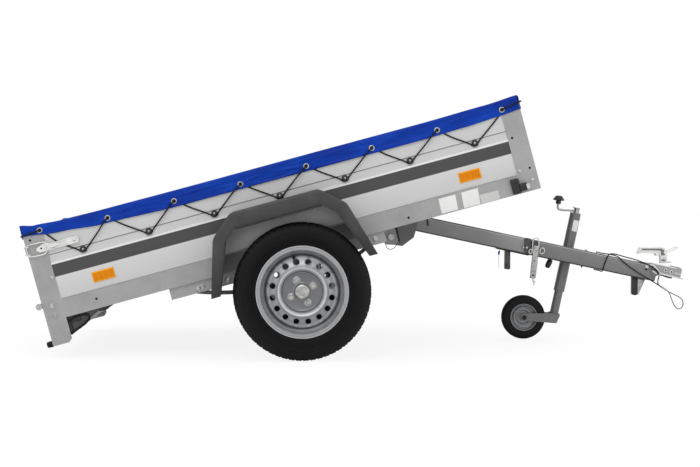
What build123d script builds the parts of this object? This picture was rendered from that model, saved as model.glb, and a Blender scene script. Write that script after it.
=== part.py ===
"""Small single-axle tipping garden trailer, parked with its box tipped to the rear.

Millimetres and degrees, +Z up, +X forward to the coupling, origin on the ground
under the middle of the overall length.
"""
import math
import os

from build123d import *

os.makedirs("parts", exist_ok=True)

# ---------------------------------------------------------------- driving sizes
BOX_LENGTH = 2050.0        # outside, post to post
BOX_WIDTH = 1150.0         # outside
AXLE_FROM_REAR = 1015.0    # axle centre from the rear face, along the box
TIP_ANGLE = 15.1           # the box slopes down to the rear
BAR_ANGLE = 12.0           # the drawbar slopes down to the front

TYRE_RADIUS = 272.0
TYRE_WIDTH = 155.0
WHEEL_GAP = 19.5           # box side to tyre
RIM_FLANGE_RADIUS = 182.0
RIM_WIDTH = 114.0
BEAD_RADIUS = 165.0
STUB_RADIUS = 15.0

RAIL_BOTTOM = 140.0        # above the axle centre, square to the box floor
RAIL_HEIGHT = 75.0
RAIL_FLANGE = 40.0
STEEL = 3.0                # folded sheet
FLOOR_THICKNESS = 9.0
WALL_THICKNESS = 20.0
WALL_HEIGHT = 297.0
POST_WIDTH = 80.0
REAR_LEG = 100.0           # rear posts reach below the rails

PIVOT_AHEAD = 429.0        # tilt pin ahead of the axle, along the box
PIVOT_DROP = 60.0          # tilt pin below the rails
PIN_RADIUS = 8.0
RUNNING_FIT = 0.05
BAR_SIZE = 70.0            # square drawbar tube
BAR_WALL = 4.0
BAR_CORNER = 7.0
BAR_LIFT = 47.0            # tube's underside above the tilt pin
BAR_START = 60.0
BAR_END = 1120.0           # top corner of the mitred front end
BAR_MITRE = 58.0

JOCKEY_AT = 796.0          # jockey tube's axis along the drawbar
JOCKEY_SIDE = 76.0
JOCKEY_WHEEL_RADIUS = 97.5
JOCKEY_WHEEL_WIDTH = 50.0
JOCKEY_TRAIL = 133.0
OUTER_TUBE_RADIUS = 24.0
OUTER_TUBE_WALL = 2.5
INNER_TUBE_RADIUS = 19.0
OUTER_TUBE_LOW = -85.0     # square to the drawbar, from the tilt pin's level
OUTER_TUBE_HIGH = 271.0
KNUCKLE_AT = -201.0

SOCKET_AT = 1268.0         # ball socket's centre along the drawbar
SOCKET_RADIUS = 25.2
SOCKET_DEPTH = 34.0
CUP_WALL = 6.0
COUPLING_LOW = 85.0
COUPLING_HIGH = 131.0

HINGE_BEHIND = 12.0        # tailgate hinge behind the rear face
GATE_THICKNESS = 22.0
GATE_SIDE_GAP = 5.0

TARP_THICKNESS = 3.0
TARP_SKIRT = 62.0
TARP_GAP = 0.4
CORD_RADIUS = 2.5
CABLE_RADIUS = 2.5

MUDGUARD_WIDTH = 200.0
MUDGUARD_THICKNESS = 4.0
MUDGUARD_LIP = 48.0

# ---------------------------------------------------------------- worked out
TIP = math.radians(TIP_ANGLE)
SLOPE = math.radians(BAR_ANGLE)
HALF_WIDTH = BOX_WIDTH / 2
TRACK = BOX_WIDTH + TYRE_WIDTH + 2 * WHEEL_GAP
HUB_Z = TYRE_RADIUS
REAR = -AXLE_FROM_REAR
FRONT = BOX_LENGTH - AXLE_FROM_REAR
RAIL_TOP = RAIL_BOTTOM + RAIL_HEIGHT
FLOOR_LOW = RAIL_TOP - FLOOR_THICKNESS
RIM_TOP = RAIL_TOP + WALL_HEIGHT
INNER_HALF = HALF_WIDTH - STEEL
PIVOT_W = RAIL_BOTTOM - PIVOT_DROP
BAR_TOP = BAR_LIFT + BAR_SIZE
TARP_LOW = RIM_TOP + TARP_GAP
TARP_HIGH = TARP_LOW + TARP_THICKNESS
FLAP_REACH = TARP_GAP + TARP_THICKNESS

REAR_REACH = (REAR - FLAP_REACH) * math.cos(TIP) - TARP_HIGH * math.sin(TIP)
PIVOT_X = PIVOT_AHEAD * math.cos(TIP) - PIVOT_W * math.sin(TIP)
PIVOT_Z = HUB_Z + PIVOT_AHEAD * math.sin(TIP) + PIVOT_W * math.cos(TIP)
CUP_RADIUS = SOCKET_RADIUS + CUP_WALL
NOSE_CHAMFER = 8.0
FRONT_REACH = (PIVOT_X + (SOCKET_AT + CUP_RADIUS) * math.cos(SLOPE)
               + (COUPLING_HIGH - NOSE_CHAMFER) * math.sin(SLOPE))
AXLE_X = -(REAR_REACH + FRONT_REACH) / 2

# BOX frame: x along the floor to the front, y to the left, z square to the floor,
# from the axle centre. BAR frame: the same for the drawbar, from the tilt pin.
BOX = Plane(origin=(AXLE_X, 0, HUB_Z), x_dir=(math.cos(TIP), 0, math.sin(TIP)),
            z_dir=(-math.sin(TIP), 0, math.cos(TIP)))
BAR = Plane(origin=(AXLE_X + PIVOT_X, 0, PIVOT_Z), x_dir=(math.cos(SLOPE), 0, -math.sin(SLOPE)),
            z_dir=(math.sin(SLOPE), 0, math.cos(SLOPE)))
JOCKEY_AXLE_T = (JOCKEY_WHEEL_RADIUS - PIVOT_Z
                 + (JOCKEY_AT - JOCKEY_TRAIL) * math.sin(SLOPE)) / math.cos(SLOPE)


# ---------------------------------------------------------------- helpers
def block(x_range, y_range, z_range, mode=Mode.ADD):
    """A box between two limits on each axis of the frame in use."""
    spans = (x_range, y_range, z_range)
    with Locations(tuple(sum(span) / 2 for span in spans)):
        Box(*(abs(span[1] - span[0]) for span in spans), mode=mode)


def side_view(frame, y):
    """The frame's side view at a given y; its normal points to -Y."""
    origin = frame.from_local_coords(Vector(0, y, 0))
    return Plane(origin=origin, x_dir=frame.x_dir, z_dir=-frame.y_dir)


def side_plate(frame, points, y_range, mode=Mode.ADD):
    """A plate with an outline drawn in the frame's side view."""
    with BuildSketch(side_view(frame, max(y_range))) as outline:
        with BuildLine():
            Polyline(*points, close=True)
        make_face()
    extrude(outline.sketch, amount=abs(y_range[1] - y_range[0]), mode=mode)


def along(frame, points, x_range):
    """A bar with an outline given as (y, z), run along the frame."""
    start = frame.from_local_coords(Vector(x_range[0], 0, 0))
    with BuildSketch(Plane(origin=start, x_dir=frame.y_dir, z_dir=frame.x_dir)) as outline:
        with BuildLine():
            Polyline(*points, close=True)
        make_face()
    extrude(outline.sketch, amount=x_range[1] - x_range[0])


def cross_rod(frame, x, z, radius, y_range, mode=Mode.ADD):
    """A round bar, or a hole, across the trailer."""
    with BuildSketch(side_view(frame, max(y_range))) as section:
        with Locations((x, z)):
            Circle(radius)
    extrude(section.sketch, amount=abs(y_range[1] - y_range[0]), mode=mode)


def rod(frame, start, end, radius, mode=Mode.ADD):
    """A round bar between two points of the frame."""
    first = frame.from_local_coords(Vector(*start))
    last = frame.from_local_coords(Vector(*end))
    with BuildSketch(Plane(origin=first, z_dir=last - first)) as section:
        Circle(radius)
    extrude(section.sketch, amount=(last - first).length, mode=mode)


def cord(frame, points, radius, edge_arcs=None):
    """A tube along straight runs joined by tangent arcs as large as the runs allow."""
    spots = [frame.from_local_coords(Vector(*point)) for point in points]
    runs = [last - first for first, last in zip(spots, spots[1:])]
    radii = []
    for before, after in zip(runs, runs[1:]):
        half_turn = math.radians(before.get_angle(after)) / 2
        radii.append(0.45 * min(before.length, after.length) / math.tan(half_turn))
    for corner, arc in (edge_arcs or {}).items():
        radii[corner - 1] = arc
    with BuildLine() as route:
        FilletPolyline(*spots, radius=radii)
    with BuildSketch(Plane(origin=spots[0], z_dir=runs[0])) as section:
        Circle(radius)
    sweep(section.sketch, path=route.wire())
    length = route.wire().length
    print(f"cord {length:.0f} mm long, arcs from {min(radii):.0f} to {max(radii):.0f} mm")
    return length


def finish(piece, name):
    piece.part.label = name
    export_step(piece.part, f"parts/{name}.step")


SIDES = (("right", -1), ("left", 1))


# ---------------------------------------------------------------- frame of the box
for name, side in SIDES:
    with BuildPart(BOX) as rail:
        web = (side * INNER_HALF, side * HALF_WIDTH)
        flange = (side * (HALF_WIDTH - RAIL_FLANGE), side * INNER_HALF)
        block((REAR + STEEL, FRONT - STEEL), web, (RAIL_BOTTOM, RAIL_TOP))
        block((REAR + STEEL, FRONT - STEEL), flange, (RAIL_BOTTOM, RAIL_BOTTOM + STEEL))
        block((REAR + STEEL, FRONT - STEEL), flange, (FLOOR_LOW - STEEL, FLOOR_LOW))
        for hole_at, hole_w in ((REAR + 215, RAIL_BOTTOM + 39), (FRONT - 547, RAIL_BOTTOM + 25)):
            cross_rod(BOX, hole_at, hole_w, 5.0, web, mode=Mode.SUBTRACT)
    finish(rail, f"side_rail_{name}")

MEMBER_LOW = RAIL_BOTTOM + STEEL
MEMBER_HIGH = FLOOR_LOW - STEEL
PIVOT_MEMBER = (PIVOT_AHEAD - 44, PIVOT_AHEAD + 26)
FRONT_MEMBER = (FRONT - 50, FRONT - STEEL)
NOTCH_HALF = 70.0
MEMBER_WIDTH = 50.0
REAR_MEMBER_AT = REAR + 415.0
members = (
    # rear face, front face, open under the drawbar
    (REAR_MEMBER_AT, REAR_MEMBER_AT + MEMBER_WIDTH, False),
    (-MEMBER_WIDTH / 2, MEMBER_WIDTH / 2, False),
    (*PIVOT_MEMBER, False),
    (*FRONT_MEMBER, True),
)
with BuildPart(BOX) as cross_members:
    for rear_face, front_face, notched in members:
        block((rear_face, front_face), (-INNER_HALF, INNER_HALF), (MEMBER_LOW, MEMBER_HIGH))
        block((rear_face, front_face - STEEL), (-INNER_HALF, INNER_HALF),
              (MEMBER_LOW + STEEL, MEMBER_HIGH - STEEL), mode=Mode.SUBTRACT)
        if notched:
            block((rear_face, front_face), (-NOTCH_HALF, NOTCH_HALF),
                  (MEMBER_LOW, MEMBER_HIGH - STEEL), mode=Mode.SUBTRACT)
finish(cross_members, "cross_members")

# ---------------------------------------------------------------- walls and floor
BOARD_SEAM = 183.0         # above the rail
BOARD_BEAD = 140.0
BEAD_HEIGHT = 12.0
BEAD_REACH = 2.4
SEAM = RAIL_TOP + BOARD_SEAM
BEAD_LOW = RAIL_TOP + BOARD_BEAD
BEAD_HIGH = BEAD_LOW + BEAD_HEIGHT
LIP_HEIGHT = 8.0           # rolled lip where a board stands on its rail
WALL_REAR = REAR + GATE_THICKNESS + 2.0
WALL_FRONT = FRONT - STEEL
wall_outer = HALF_WIDTH - STEEL
wall_inner = wall_outer - WALL_THICKNESS
wall_section = (
    # y from the middle, height above the axle centre
    (wall_inner, FLOOR_LOW),
    (wall_outer, FLOOR_LOW),
    (wall_outer, RAIL_TOP),
    (wall_outer + BEAD_REACH, RAIL_TOP + 1.0),
    (wall_outer + BEAD_REACH, RAIL_TOP + LIP_HEIGHT - 2.0),
    (wall_outer, RAIL_TOP + LIP_HEIGHT),
    (wall_outer, BEAD_LOW - 1.0),
    (wall_outer + BEAD_REACH, BEAD_LOW + 2.0),
    (wall_outer + BEAD_REACH, BEAD_HIGH - 2.0),
    (wall_outer, BEAD_HIGH + 1.0),
    (wall_outer, SEAM - 2.0),
    (wall_outer - 2.0, SEAM),
    (wall_outer, SEAM + 2.0),
    (wall_outer, RIM_TOP),
    (wall_inner, RIM_TOP),
)
for name, side in SIDES:
    with BuildPart(BOX) as side_wall:
        behind_posts = (side * wall_inner, side * wall_outer)
        block((WALL_REAR, REAR + POST_WIDTH), behind_posts, (FLOOR_LOW, RIM_TOP))
        block((FRONT - POST_WIDTH, WALL_FRONT), behind_posts, (FLOOR_LOW, RIM_TOP))
        along(BOX, ((side * y, w) for y, w in wall_section), (REAR + POST_WIDTH, FRONT - POST_WIDTH))
    finish(side_wall, f"side_wall_{name}")

with BuildPart(BOX) as front_wall:
    block((WALL_FRONT - WALL_THICKNESS, WALL_FRONT), (-wall_inner, wall_inner),
          (FLOOR_LOW, RIM_TOP))
finish(front_wall, "front_wall")

with BuildPart(BOX) as floor_panel:
    block((WALL_REAR, WALL_FRONT - WALL_THICKNESS), (-wall_inner, wall_inner),
          (FLOOR_LOW, RAIL_TOP))
finish(floor_panel, "floor_panel")

# ---------------------------------------------------------------- corner posts
POST_TOP = RIM_TOP - 10.0
FRONT_FACE_WIDTH = 60.0
with BuildPart(BOX) as front_posts:
    for _, side in SIDES:
        face = (side * INNER_HALF, side * HALF_WIDTH)
        block((FRONT - POST_WIDTH, FRONT), face, (RAIL_TOP, POST_TOP))
        block((FRONT - STEEL, FRONT), (side * (HALF_WIDTH - FRONT_FACE_WIDTH), side * HALF_WIDTH),
              (RAIL_BOTTOM, POST_TOP))
        for hole_u, hole_w in ((FRONT - 62, RAIL_TOP + 150), (FRONT - 24, RAIL_TOP + 16)):
            cross_rod(BOX, hole_u, hole_w, 5.0, face, mode=Mode.SUBTRACT)
finish(front_posts, "front_posts")

LEG_LOW = RAIL_BOTTOM - REAR_LEG
with BuildPart(BOX) as rear_posts:
    for _, side in SIDES:
        side_plate(BOX, ((REAR, LEG_LOW), (REAR + POST_WIDTH - 14, LEG_LOW),
                         (REAR + POST_WIDTH, LEG_LOW + 14), (REAR + POST_WIDTH, POST_TOP),
                         (REAR, POST_TOP)), (side * INNER_HALF, side * HALF_WIDTH))
        block((REAR + STEEL, REAR + POST_WIDTH), (side * INNER_HALF, side * HALF_WIDTH),
              (RAIL_BOTTOM, RAIL_TOP), mode=Mode.SUBTRACT)
finish(rear_posts, "rear_posts")

# ---------------------------------------------------------------- rear light bar
BAR_FACE = REAR + 72.0
BAR_LOW = RAIL_BOTTOM - 74.0
GUSSET_REACH = 136.0
GUSSET_FOOT = 14.0
GUSSET_INSET = 14.0
PLATE_SIZE = (520.0, 112.0)
PLATE_TO_LAMP = 36.0
LAMP_OUT = INNER_HALF - RAIL_FLANGE - 6.0
LAMP_WIDTH = LAMP_OUT - PLATE_SIZE[0] / 2 - PLATE_TO_LAMP
LAMP_DEPTH = 46.0
LENS_DEPTH = 9.0
with BuildPart(BOX) as light_bar:
    block((BAR_FACE - STEEL, BAR_FACE), (-INNER_HALF, INNER_HALF), (BAR_LOW, RAIL_BOTTOM))
    block((BAR_FACE - STEEL, BAR_FACE), (-INNER_HALF + RAIL_FLANGE, INNER_HALF - RAIL_FLANGE),
          (RAIL_BOTTOM, FLOOR_LOW))
    block((REAR + STEEL, BAR_FACE), (-INNER_HALF, INNER_HALF), (BAR_LOW, BAR_LOW + STEEL))
    block((REAR + STEEL, BAR_FACE), (-INNER_HALF + RAIL_FLANGE, INNER_HALF - RAIL_FLANGE),
          (FLOOR_LOW - STEEL, FLOOR_LOW))
    block((WALL_REAR - STEEL, WALL_REAR), (-wall_inner, wall_inner), (FLOOR_LOW, RAIL_TOP))
    block((REAR + STEEL, WALL_REAR), (-wall_inner, wall_inner), (RAIL_TOP - STEEL, RAIL_TOP))
    for _, side in SIDES:
        side_plate(BOX, ((BAR_FACE, BAR_LOW), (BAR_FACE + GUSSET_FOOT, BAR_LOW + GUSSET_FOOT),
                         (BAR_FACE + GUSSET_REACH, RAIL_BOTTOM), (BAR_FACE, RAIL_BOTTOM)),
                   (side * (INNER_HALF - GUSSET_INSET), side * (INNER_HALF - GUSSET_INSET - STEEL)))
finish(light_bar, "light_bar")

LAMP_LOW = BAR_LOW + STEEL + 4.0
LAMP_HIGH = LAMP_LOW + 118.0
with BuildPart(BOX) as tail_lamps:
    for _, side in SIDES:
        block((BAR_FACE - STEEL - LAMP_DEPTH, BAR_FACE - STEEL),
              (side * (LAMP_OUT - LAMP_WIDTH), side * LAMP_OUT), (LAMP_LOW, LAMP_HIGH))
finish(tail_lamps, "tail_lamps")

with BuildPart(BOX) as lamp_lenses:
    for _, side in SIDES:
        lens_back = BAR_FACE - STEEL - LAMP_DEPTH
        block((lens_back - LENS_DEPTH, lens_back),
              (side * (LAMP_OUT - LAMP_WIDTH + 4), side * (LAMP_OUT - 4)),
              (LAMP_LOW + 4, LAMP_HIGH - 4))
finish(lamp_lenses, "lamp_lenses")

with BuildPart(BOX) as number_plate:
    block((BAR_FACE - STEEL - 4, BAR_FACE - STEEL), (-PLATE_SIZE[0] / 2, PLATE_SIZE[0] / 2),
          (LAMP_LOW + 3, LAMP_LOW + 3 + PLATE_SIZE[1]))
finish(number_plate, "number_plate")

BUFFER_RADIUS = 9.0
BUFFER_DEPTH = 17.0
BUFFER_INSET = 18.0
BUFFER_UP = 12.0
FOOT_WIDTH = 34.0
FOOT_HEIGHT = 20.0
with BuildPart(BOX) as foot_buffers:
    for _, side in SIDES:
        rod(BOX, (REAR, side * (HALF_WIDTH - BUFFER_INSET), LEG_LOW + BUFFER_UP),
            (REAR - BUFFER_DEPTH, side * (HALF_WIDTH - BUFFER_INSET), LEG_LOW + BUFFER_UP),
            BUFFER_RADIUS)
        block((REAR, REAR + STEEL), (side * (HALF_WIDTH - FOOT_WIDTH), side * INNER_HALF),
              (LEG_LOW, LEG_LOW + FOOT_HEIGHT))
finish(foot_buffers, "foot_buffers")

# ---------------------------------------------------------------- side lamps and reflectors
with BuildPart(BOX) as side_reflectors:
    for _, side in SIDES:
        for middle in (REAR + 268.0, FRONT - 266.0):
            block((middle - 45, middle + 45), (side * wall_outer, side * (wall_outer + 6)),
                  (RAIL_TOP + 29, RAIL_TOP + 69))
finish(side_reflectors, "side_reflectors")

MARKER_AT = FRONT - 98.0
with BuildPart(BOX) as marker_lamps:
    for _, side in SIDES:
        block((MARKER_AT - 18, MARKER_AT + 18), (side * HALF_WIDTH, side * (HALF_WIDTH + 24)),
              (RAIL_BOTTOM + 4, RAIL_BOTTOM + 64))
        block((MARKER_AT + 18, MARKER_AT + 52), (side * HALF_WIDTH, side * (HALF_WIDTH + 34)),
              (RAIL_BOTTOM + 8, RAIL_BOTTOM + 40))
finish(marker_lamps, "marker_lamps")

# ---------------------------------------------------------------- mudguards
MUD_CENTRE = -10.0
MUD_OUT = HALF_WIDTH + MUDGUARD_WIDTH
INNER_FLANGE = 4.0
mud_outline = (
    # distance from the guard's middle, height above the axle centre, corner radius
    (335.0, 70.0, 0.0),
    (268.0, 293.0, 45.0),
    (174.0, 369.0, 32.0),
)
flange_outline = (
    (290.0, RAIL_TOP + LIP_HEIGHT),
    (268.0, 293.0),
    (174.0, 369.0),
)


def arch(depth):
    """The guard's side view, set in from its outer line by a depth; open at the bottom."""
    rows = [(-half, w, arc) for half, w, arc in mud_outline]
    rows += [(half, w, arc) for half, w, arc in reversed(mud_outline)]
    spots = [Vector(MUD_CENTRE + u, w) for u, w, _ in rows]
    lines = []
    for first, last in zip(spots, spots[1:]):
        inward = (last - first).normalized().rotate(Axis.Z, -90) * depth
        lines.append((first + inward, last + inward))
    foot = mud_outline[0][1]
    corners = [at_height(*lines[0], foot)]
    for before, after in zip(lines, lines[1:]):
        corners.append(crossing(*before, *after))
    corners.append(at_height(*lines[-1], foot))
    return corners


def at_height(first, last, height):
    return first + (last - first) * ((height - first.Y) / (last.Y - first.Y))


def crossing(first, last, third, fourth):
    """Where the line through the first two points meets the line through the others."""
    run, other = last - first, fourth - third
    share = (third - first).cross(other).Z / run.cross(other).Z
    return first + run * share


def arch_plate(depth, y_range, outer_depth=0.0):
    """A curved strip between two offsets of the guard's side view."""
    arcs = [arc for _, _, arc in mud_outline[1:]]
    arcs = arcs + arcs[::-1]
    with BuildSketch(side_view(BOX, max(y_range))) as outline:
        with BuildLine():
            outer = FilletPolyline(*arch(outer_depth), radius=[arc - outer_depth for arc in arcs])
            inner = FilletPolyline(*arch(depth), radius=[max(arc - depth, 2.0) for arc in arcs])
            Line(outer @ 0, inner @ 0)
            Line(outer @ 1, inner @ 1)
        make_face()
    extrude(outline.sketch, amount=abs(y_range[1] - y_range[0]))


for name, side in SIDES:
    with BuildPart(BOX) as mudguard:
        arch_plate(MUDGUARD_THICKNESS, (side * HALF_WIDTH, side * MUD_OUT))
        arch_plate(MUDGUARD_LIP, (side * (MUD_OUT - MUDGUARD_THICKNESS), side * MUD_OUT))
        flange = [(MUD_CENTRE - half, w) for half, w in flange_outline]
        flange += [(MUD_CENTRE + half, w) for half, w in reversed(flange_outline)]
        side_plate(BOX, flange, (side * HALF_WIDTH, side * (HALF_WIDTH + INNER_FLANGE)))
    finish(mudguard, f"mudguard_{name}")

# ---------------------------------------------------------------- axle and springs
BEAM_OUT = HALF_WIDTH - 10.0
BEAM_WIDTH = 50.0
BEAM_LOW = RAIL_BOTTOM - 46.0
BEAM_ENDS = (-513.0, 379.0)
with BuildPart(BOX) as suspension_beams:
    for _, side in SIDES:
        across = (side * (BEAM_OUT - BEAM_WIDTH), side * BEAM_OUT)
        hollow = (side * (BEAM_OUT - BEAM_WIDTH + STEEL), side * (BEAM_OUT - STEEL))
        block(BEAM_ENDS, across, (BEAM_LOW, RAIL_BOTTOM))
        block(BEAM_ENDS, hollow, (BEAM_LOW, RAIL_BOTTOM - STEEL), mode=Mode.SUBTRACT)
finish(suspension_beams, "suspension_beams")

AXLE_HALF = 25.0
LEAF_DEPTH = 14.0
LEAF_LOW = AXLE_HALF + 3.0
LEAF_FLAT = 45.0
LEAF_FRONT = (337.0, 106.0)
LEAF_REAR = (-430.0, 100.0)
with BuildPart(BOX) as leaf_springs:
    for _, side in SIDES:
        inside = side * (BEAM_OUT - BEAM_WIDTH + STEEL + 2)
        outside = side * (BEAM_OUT - STEEL - 2)
        with BuildSketch(side_view(BOX, max(inside, outside))) as leaf:
            with BuildLine():
                Line((-LEAF_FLAT, LEAF_LOW), (LEAF_FLAT, LEAF_LOW))
                TangentArc((LEAF_FLAT, LEAF_LOW), LEAF_FRONT, tangent=(1, 0))
                Line(LEAF_FRONT, (LEAF_FRONT[0], LEAF_FRONT[1] + LEAF_DEPTH))
                TangentArc((LEAF_FLAT, LEAF_LOW + LEAF_DEPTH),
                           (LEAF_FRONT[0], LEAF_FRONT[1] + LEAF_DEPTH), tangent=(1, 0))
                Line((-LEAF_FLAT, LEAF_LOW + LEAF_DEPTH), (LEAF_FLAT, LEAF_LOW + LEAF_DEPTH))
                TangentArc((-LEAF_FLAT, LEAF_LOW + LEAF_DEPTH),
                           (LEAF_REAR[0], LEAF_REAR[1] + LEAF_DEPTH), tangent=(-1, 0))
                Line(LEAF_REAR, (LEAF_REAR[0], LEAF_REAR[1] + LEAF_DEPTH))
                TangentArc((-LEAF_FLAT, LEAF_LOW), LEAF_REAR, tangent=(-1, 0))
            make_face()
        extrude(leaf.sketch, amount=abs(outside - inside))
        flanges = (side * (BEAM_OUT - BEAM_WIDTH + STEEL), side * (BEAM_OUT - STEEL))
        cross_rod(BOX, LEAF_FRONT[0] - 6, LEAF_FRONT[1] + LEAF_DEPTH / 2, 9.0, flanges)
        cross_rod(BOX, LEAF_REAR[0] + 6, LEAF_REAR[1] + LEAF_DEPTH / 2, 9.0, flanges)
finish(leaf_springs, "leaf_springs")

STUB_START = TRACK / 2 - 100.0
STUB_END = TRACK / 2 + 22.0
with BuildPart(BOX) as axle_beam:
    block((-AXLE_HALF, AXLE_HALF), (-STUB_START, STUB_START), (-AXLE_HALF, AXLE_HALF))
    for _, side in SIDES:
        cross_rod(BOX, 0, 0, STUB_RADIUS, (side * STUB_START, side * STUB_END))
        block((-LEAF_FLAT + 5, LEAF_FLAT - 5),
              (side * (BEAM_OUT - BEAM_WIDTH + STEEL + 2), side * (BEAM_OUT - STEEL - 2)),
              (AXLE_HALF, LEAF_LOW))
finish(axle_beam, "axle_beam")

# ---------------------------------------------------------------- main wheels
HUB_FACE = 11.0            # wheel's mounting face outboard of the tyre's middle
DISC_THICKNESS = 5.0
HUB_RADIUS = 62.0
CAP_RADIUS = 29.0
BOLT_CIRCLE = 49.0
VENT_CIRCLE = 119.0
VENT_RADIUS = 11.5
VENT_COUNT = 16
BOLT_COUNT = 4
TYRE_SEAT = BEAD_RADIUS + 0.3
half_tyre = TYRE_WIDTH / 2
half_rim = RIM_WIDTH / 2

tyre_section = (
    # across the tyre, radius
    (half_rim - 11, TYRE_SEAT),
    (half_rim - 5, BEAD_RADIUS + 6.6),
    (half_rim - 0.5, RIM_FLANGE_RADIUS + 0.3),
    (half_rim + 5, RIM_FLANGE_RADIUS + 1),
    (half_tyre - 2, RIM_FLANGE_RADIUS + 24),
    (half_tyre, RIM_FLANGE_RADIUS + 40),
    (half_tyre - 6, TYRE_RADIUS - 26),
    (half_tyre - 17, TYRE_RADIUS - 7),
    (half_tyre - 32, TYRE_RADIUS),
)
rim_section = (
    (half_rim + 3, RIM_FLANGE_RADIUS),
    (half_rim, RIM_FLANGE_RADIUS),
    (half_rim - 4, BEAD_RADIUS + 6),
    (half_rim - 10, BEAD_RADIUS),
    (half_rim - 26, BEAD_RADIUS),
    (half_rim - 34, BEAD_RADIUS - 18),
    (-half_rim + 34, BEAD_RADIUS - 18),
    (-half_rim + 26, BEAD_RADIUS),
    (-half_rim + 10, BEAD_RADIUS),
    (-half_rim + 4, BEAD_RADIUS + 6),
    (-half_rim, RIM_FLANGE_RADIUS),
    (-half_rim - 3, RIM_FLANGE_RADIUS),
    (-half_rim - 3, BEAD_RADIUS + 1),
    (-half_rim + 8, BEAD_RADIUS - 4),
    (-half_rim + 24, BEAD_RADIUS - 4),
    (-half_rim + 32, BEAD_RADIUS - 22),
    (half_rim - 32, BEAD_RADIUS - 22),
    (half_rim - 24, BEAD_RADIUS - 4),
    (half_rim - 8, BEAD_RADIUS - 4),
    (half_rim + 3, BEAD_RADIUS + 1),
)
disc_face = (
    # outboard of the tyre's middle, radius
    (HUB_FACE + 6, BEAD_RADIUS - 22),
    (HUB_FACE + 12, BEAD_RADIUS - 34),
    (HUB_FACE + 26, VENT_CIRCLE - 16),
    (HUB_FACE + 28, 97.0),
    (HUB_FACE + 22, 86.0),
    (HUB_FACE + 8, 76.0),
    (HUB_FACE + DISC_THICKNESS, 70.0),
    (HUB_FACE + DISC_THICKNESS, CAP_RADIUS + 1.5),
)


def turn(profile, middle, side, mode=Mode.ADD, centre=(0.0, 0.0), frame=BOX):
    """A ring turned about a cross axis; the profile is (outboard, radius)."""
    start = frame.from_local_coords(Vector(centre[0], 0, centre[1]))
    view = Plane(origin=start, x_dir=(0, 1, 0), z_dir=(1, 0, 0))
    with BuildSketch(view) as outline:
        with BuildLine():
            Polyline(*((middle + side * y, r) for y, r in profile), close=True)
        make_face()
    revolve(outline.sketch, axis=Axis(start, Vector(0, 1, 0)), revolution_arc=360, mode=mode)


for name, side in SIDES:
    middle = side * TRACK / 2
    with BuildPart() as tyre:
        turn(tyre_section + tuple((-y, r) for y, r in reversed(tyre_section)), middle, side)
    finish(tyre, f"tyre_{name}")

    with BuildPart() as rim:
        turn(rim_section, middle, side)
        turn(disc_face + tuple((y - DISC_THICKNESS, r) for y, r in reversed(disc_face)),
             middle, side)
        for hole in range(VENT_COUNT):
            angle = 2 * math.pi * (hole + 0.5) / VENT_COUNT
            cross_rod(BOX, VENT_CIRCLE * math.cos(angle), VENT_CIRCLE * math.sin(angle),
                      VENT_RADIUS, (middle + side * HUB_FACE, middle + side * (HUB_FACE + 40)),
                      mode=Mode.SUBTRACT)
        for bolt in range(BOLT_COUNT):
            angle = math.radians(12) + 2 * math.pi * bolt / BOLT_COUNT
            cross_rod(BOX, BOLT_CIRCLE * math.cos(angle), BOLT_CIRCLE * math.sin(angle),
                      6.3, (middle + side * (HUB_FACE - 1), middle + side * (HUB_FACE + 9)),
                      mode=Mode.SUBTRACT)
    finish(rim, f"rim_{name}")

    bore = STUB_RADIUS + RUNNING_FIT
    with BuildPart() as hub:
        turn(((HUB_FACE, bore), (HUB_FACE, HUB_RADIUS), (HUB_FACE - 9, HUB_RADIUS),
              (HUB_FACE - 12, 36.0), (-60.0, 33.0), (-60.0, bore)), middle, side)
        turn(((HUB_FACE, bore), (HUB_FACE, CAP_RADIUS), (HUB_FACE + 24, CAP_RADIUS),
              (HUB_FACE + 31, CAP_RADIUS - 8), (HUB_FACE + 31, 0), (HUB_FACE + 22, 0),
              (HUB_FACE + 22, bore)), middle, side)
        for bolt in range(BOLT_COUNT):
            angle = math.radians(12) + 2 * math.pi * bolt / BOLT_COUNT
            place = (BOLT_CIRCLE * math.cos(angle), BOLT_CIRCLE * math.sin(angle))
            cross_rod(BOX, *place, 6.0, (middle + side * HUB_FACE,
                                         middle + side * (HUB_FACE + DISC_THICKNESS)))
            cross_rod(BOX, *place, 9.5, (middle + side * (HUB_FACE + DISC_THICKNESS),
                                         middle + side * (HUB_FACE + DISC_THICKNESS + 12)))
    finish(hub, f"hub_{name}")

# ---------------------------------------------------------------- tilt hinge on the box
BRACKET_GAP = BAR_SIZE / 2 + 8.0
BRACKET_PLATE = 6.0
bracket_outline = (
    (PIVOT_MEMBER[0] + 4, MEMBER_LOW),
    (PIVOT_AHEAD - 33, PIVOT_W + 33),
    (PIVOT_AHEAD - 29, PIVOT_W - 27),
    (PIVOT_AHEAD + 13, PIVOT_W - 40),
    (PIVOT_MEMBER[1], PIVOT_W - 28),
    (PIVOT_MEMBER[1], MEMBER_LOW),
)
with BuildPart(BOX) as box_brackets:
    for _, side in SIDES:
        y_range = (side * BRACKET_GAP, side * (BRACKET_GAP + BRACKET_PLATE))
        side_plate(BOX, bracket_outline, y_range)
        cross_rod(BOX, PIVOT_AHEAD, PIVOT_W, PIN_RADIUS + 0.3, y_range, mode=Mode.SUBTRACT)
    block((FRONT, FRONT + 6), (-NOTCH_HALF - 26, -NOTCH_HALF), (RAIL_BOTTOM, RAIL_BOTTOM + 46))
    block((FRONT - STEEL, FRONT), (-NOTCH_HALF - 26, -NOTCH_HALF), (RAIL_BOTTOM, RAIL_BOTTOM + 46))
    block((FRONT + 6, FRONT + 14), (-NOTCH_HALF - 26, -NOTCH_HALF),
          (RAIL_BOTTOM + 34, RAIL_BOTTOM + 46))
finish(box_brackets, "box_brackets")

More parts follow.
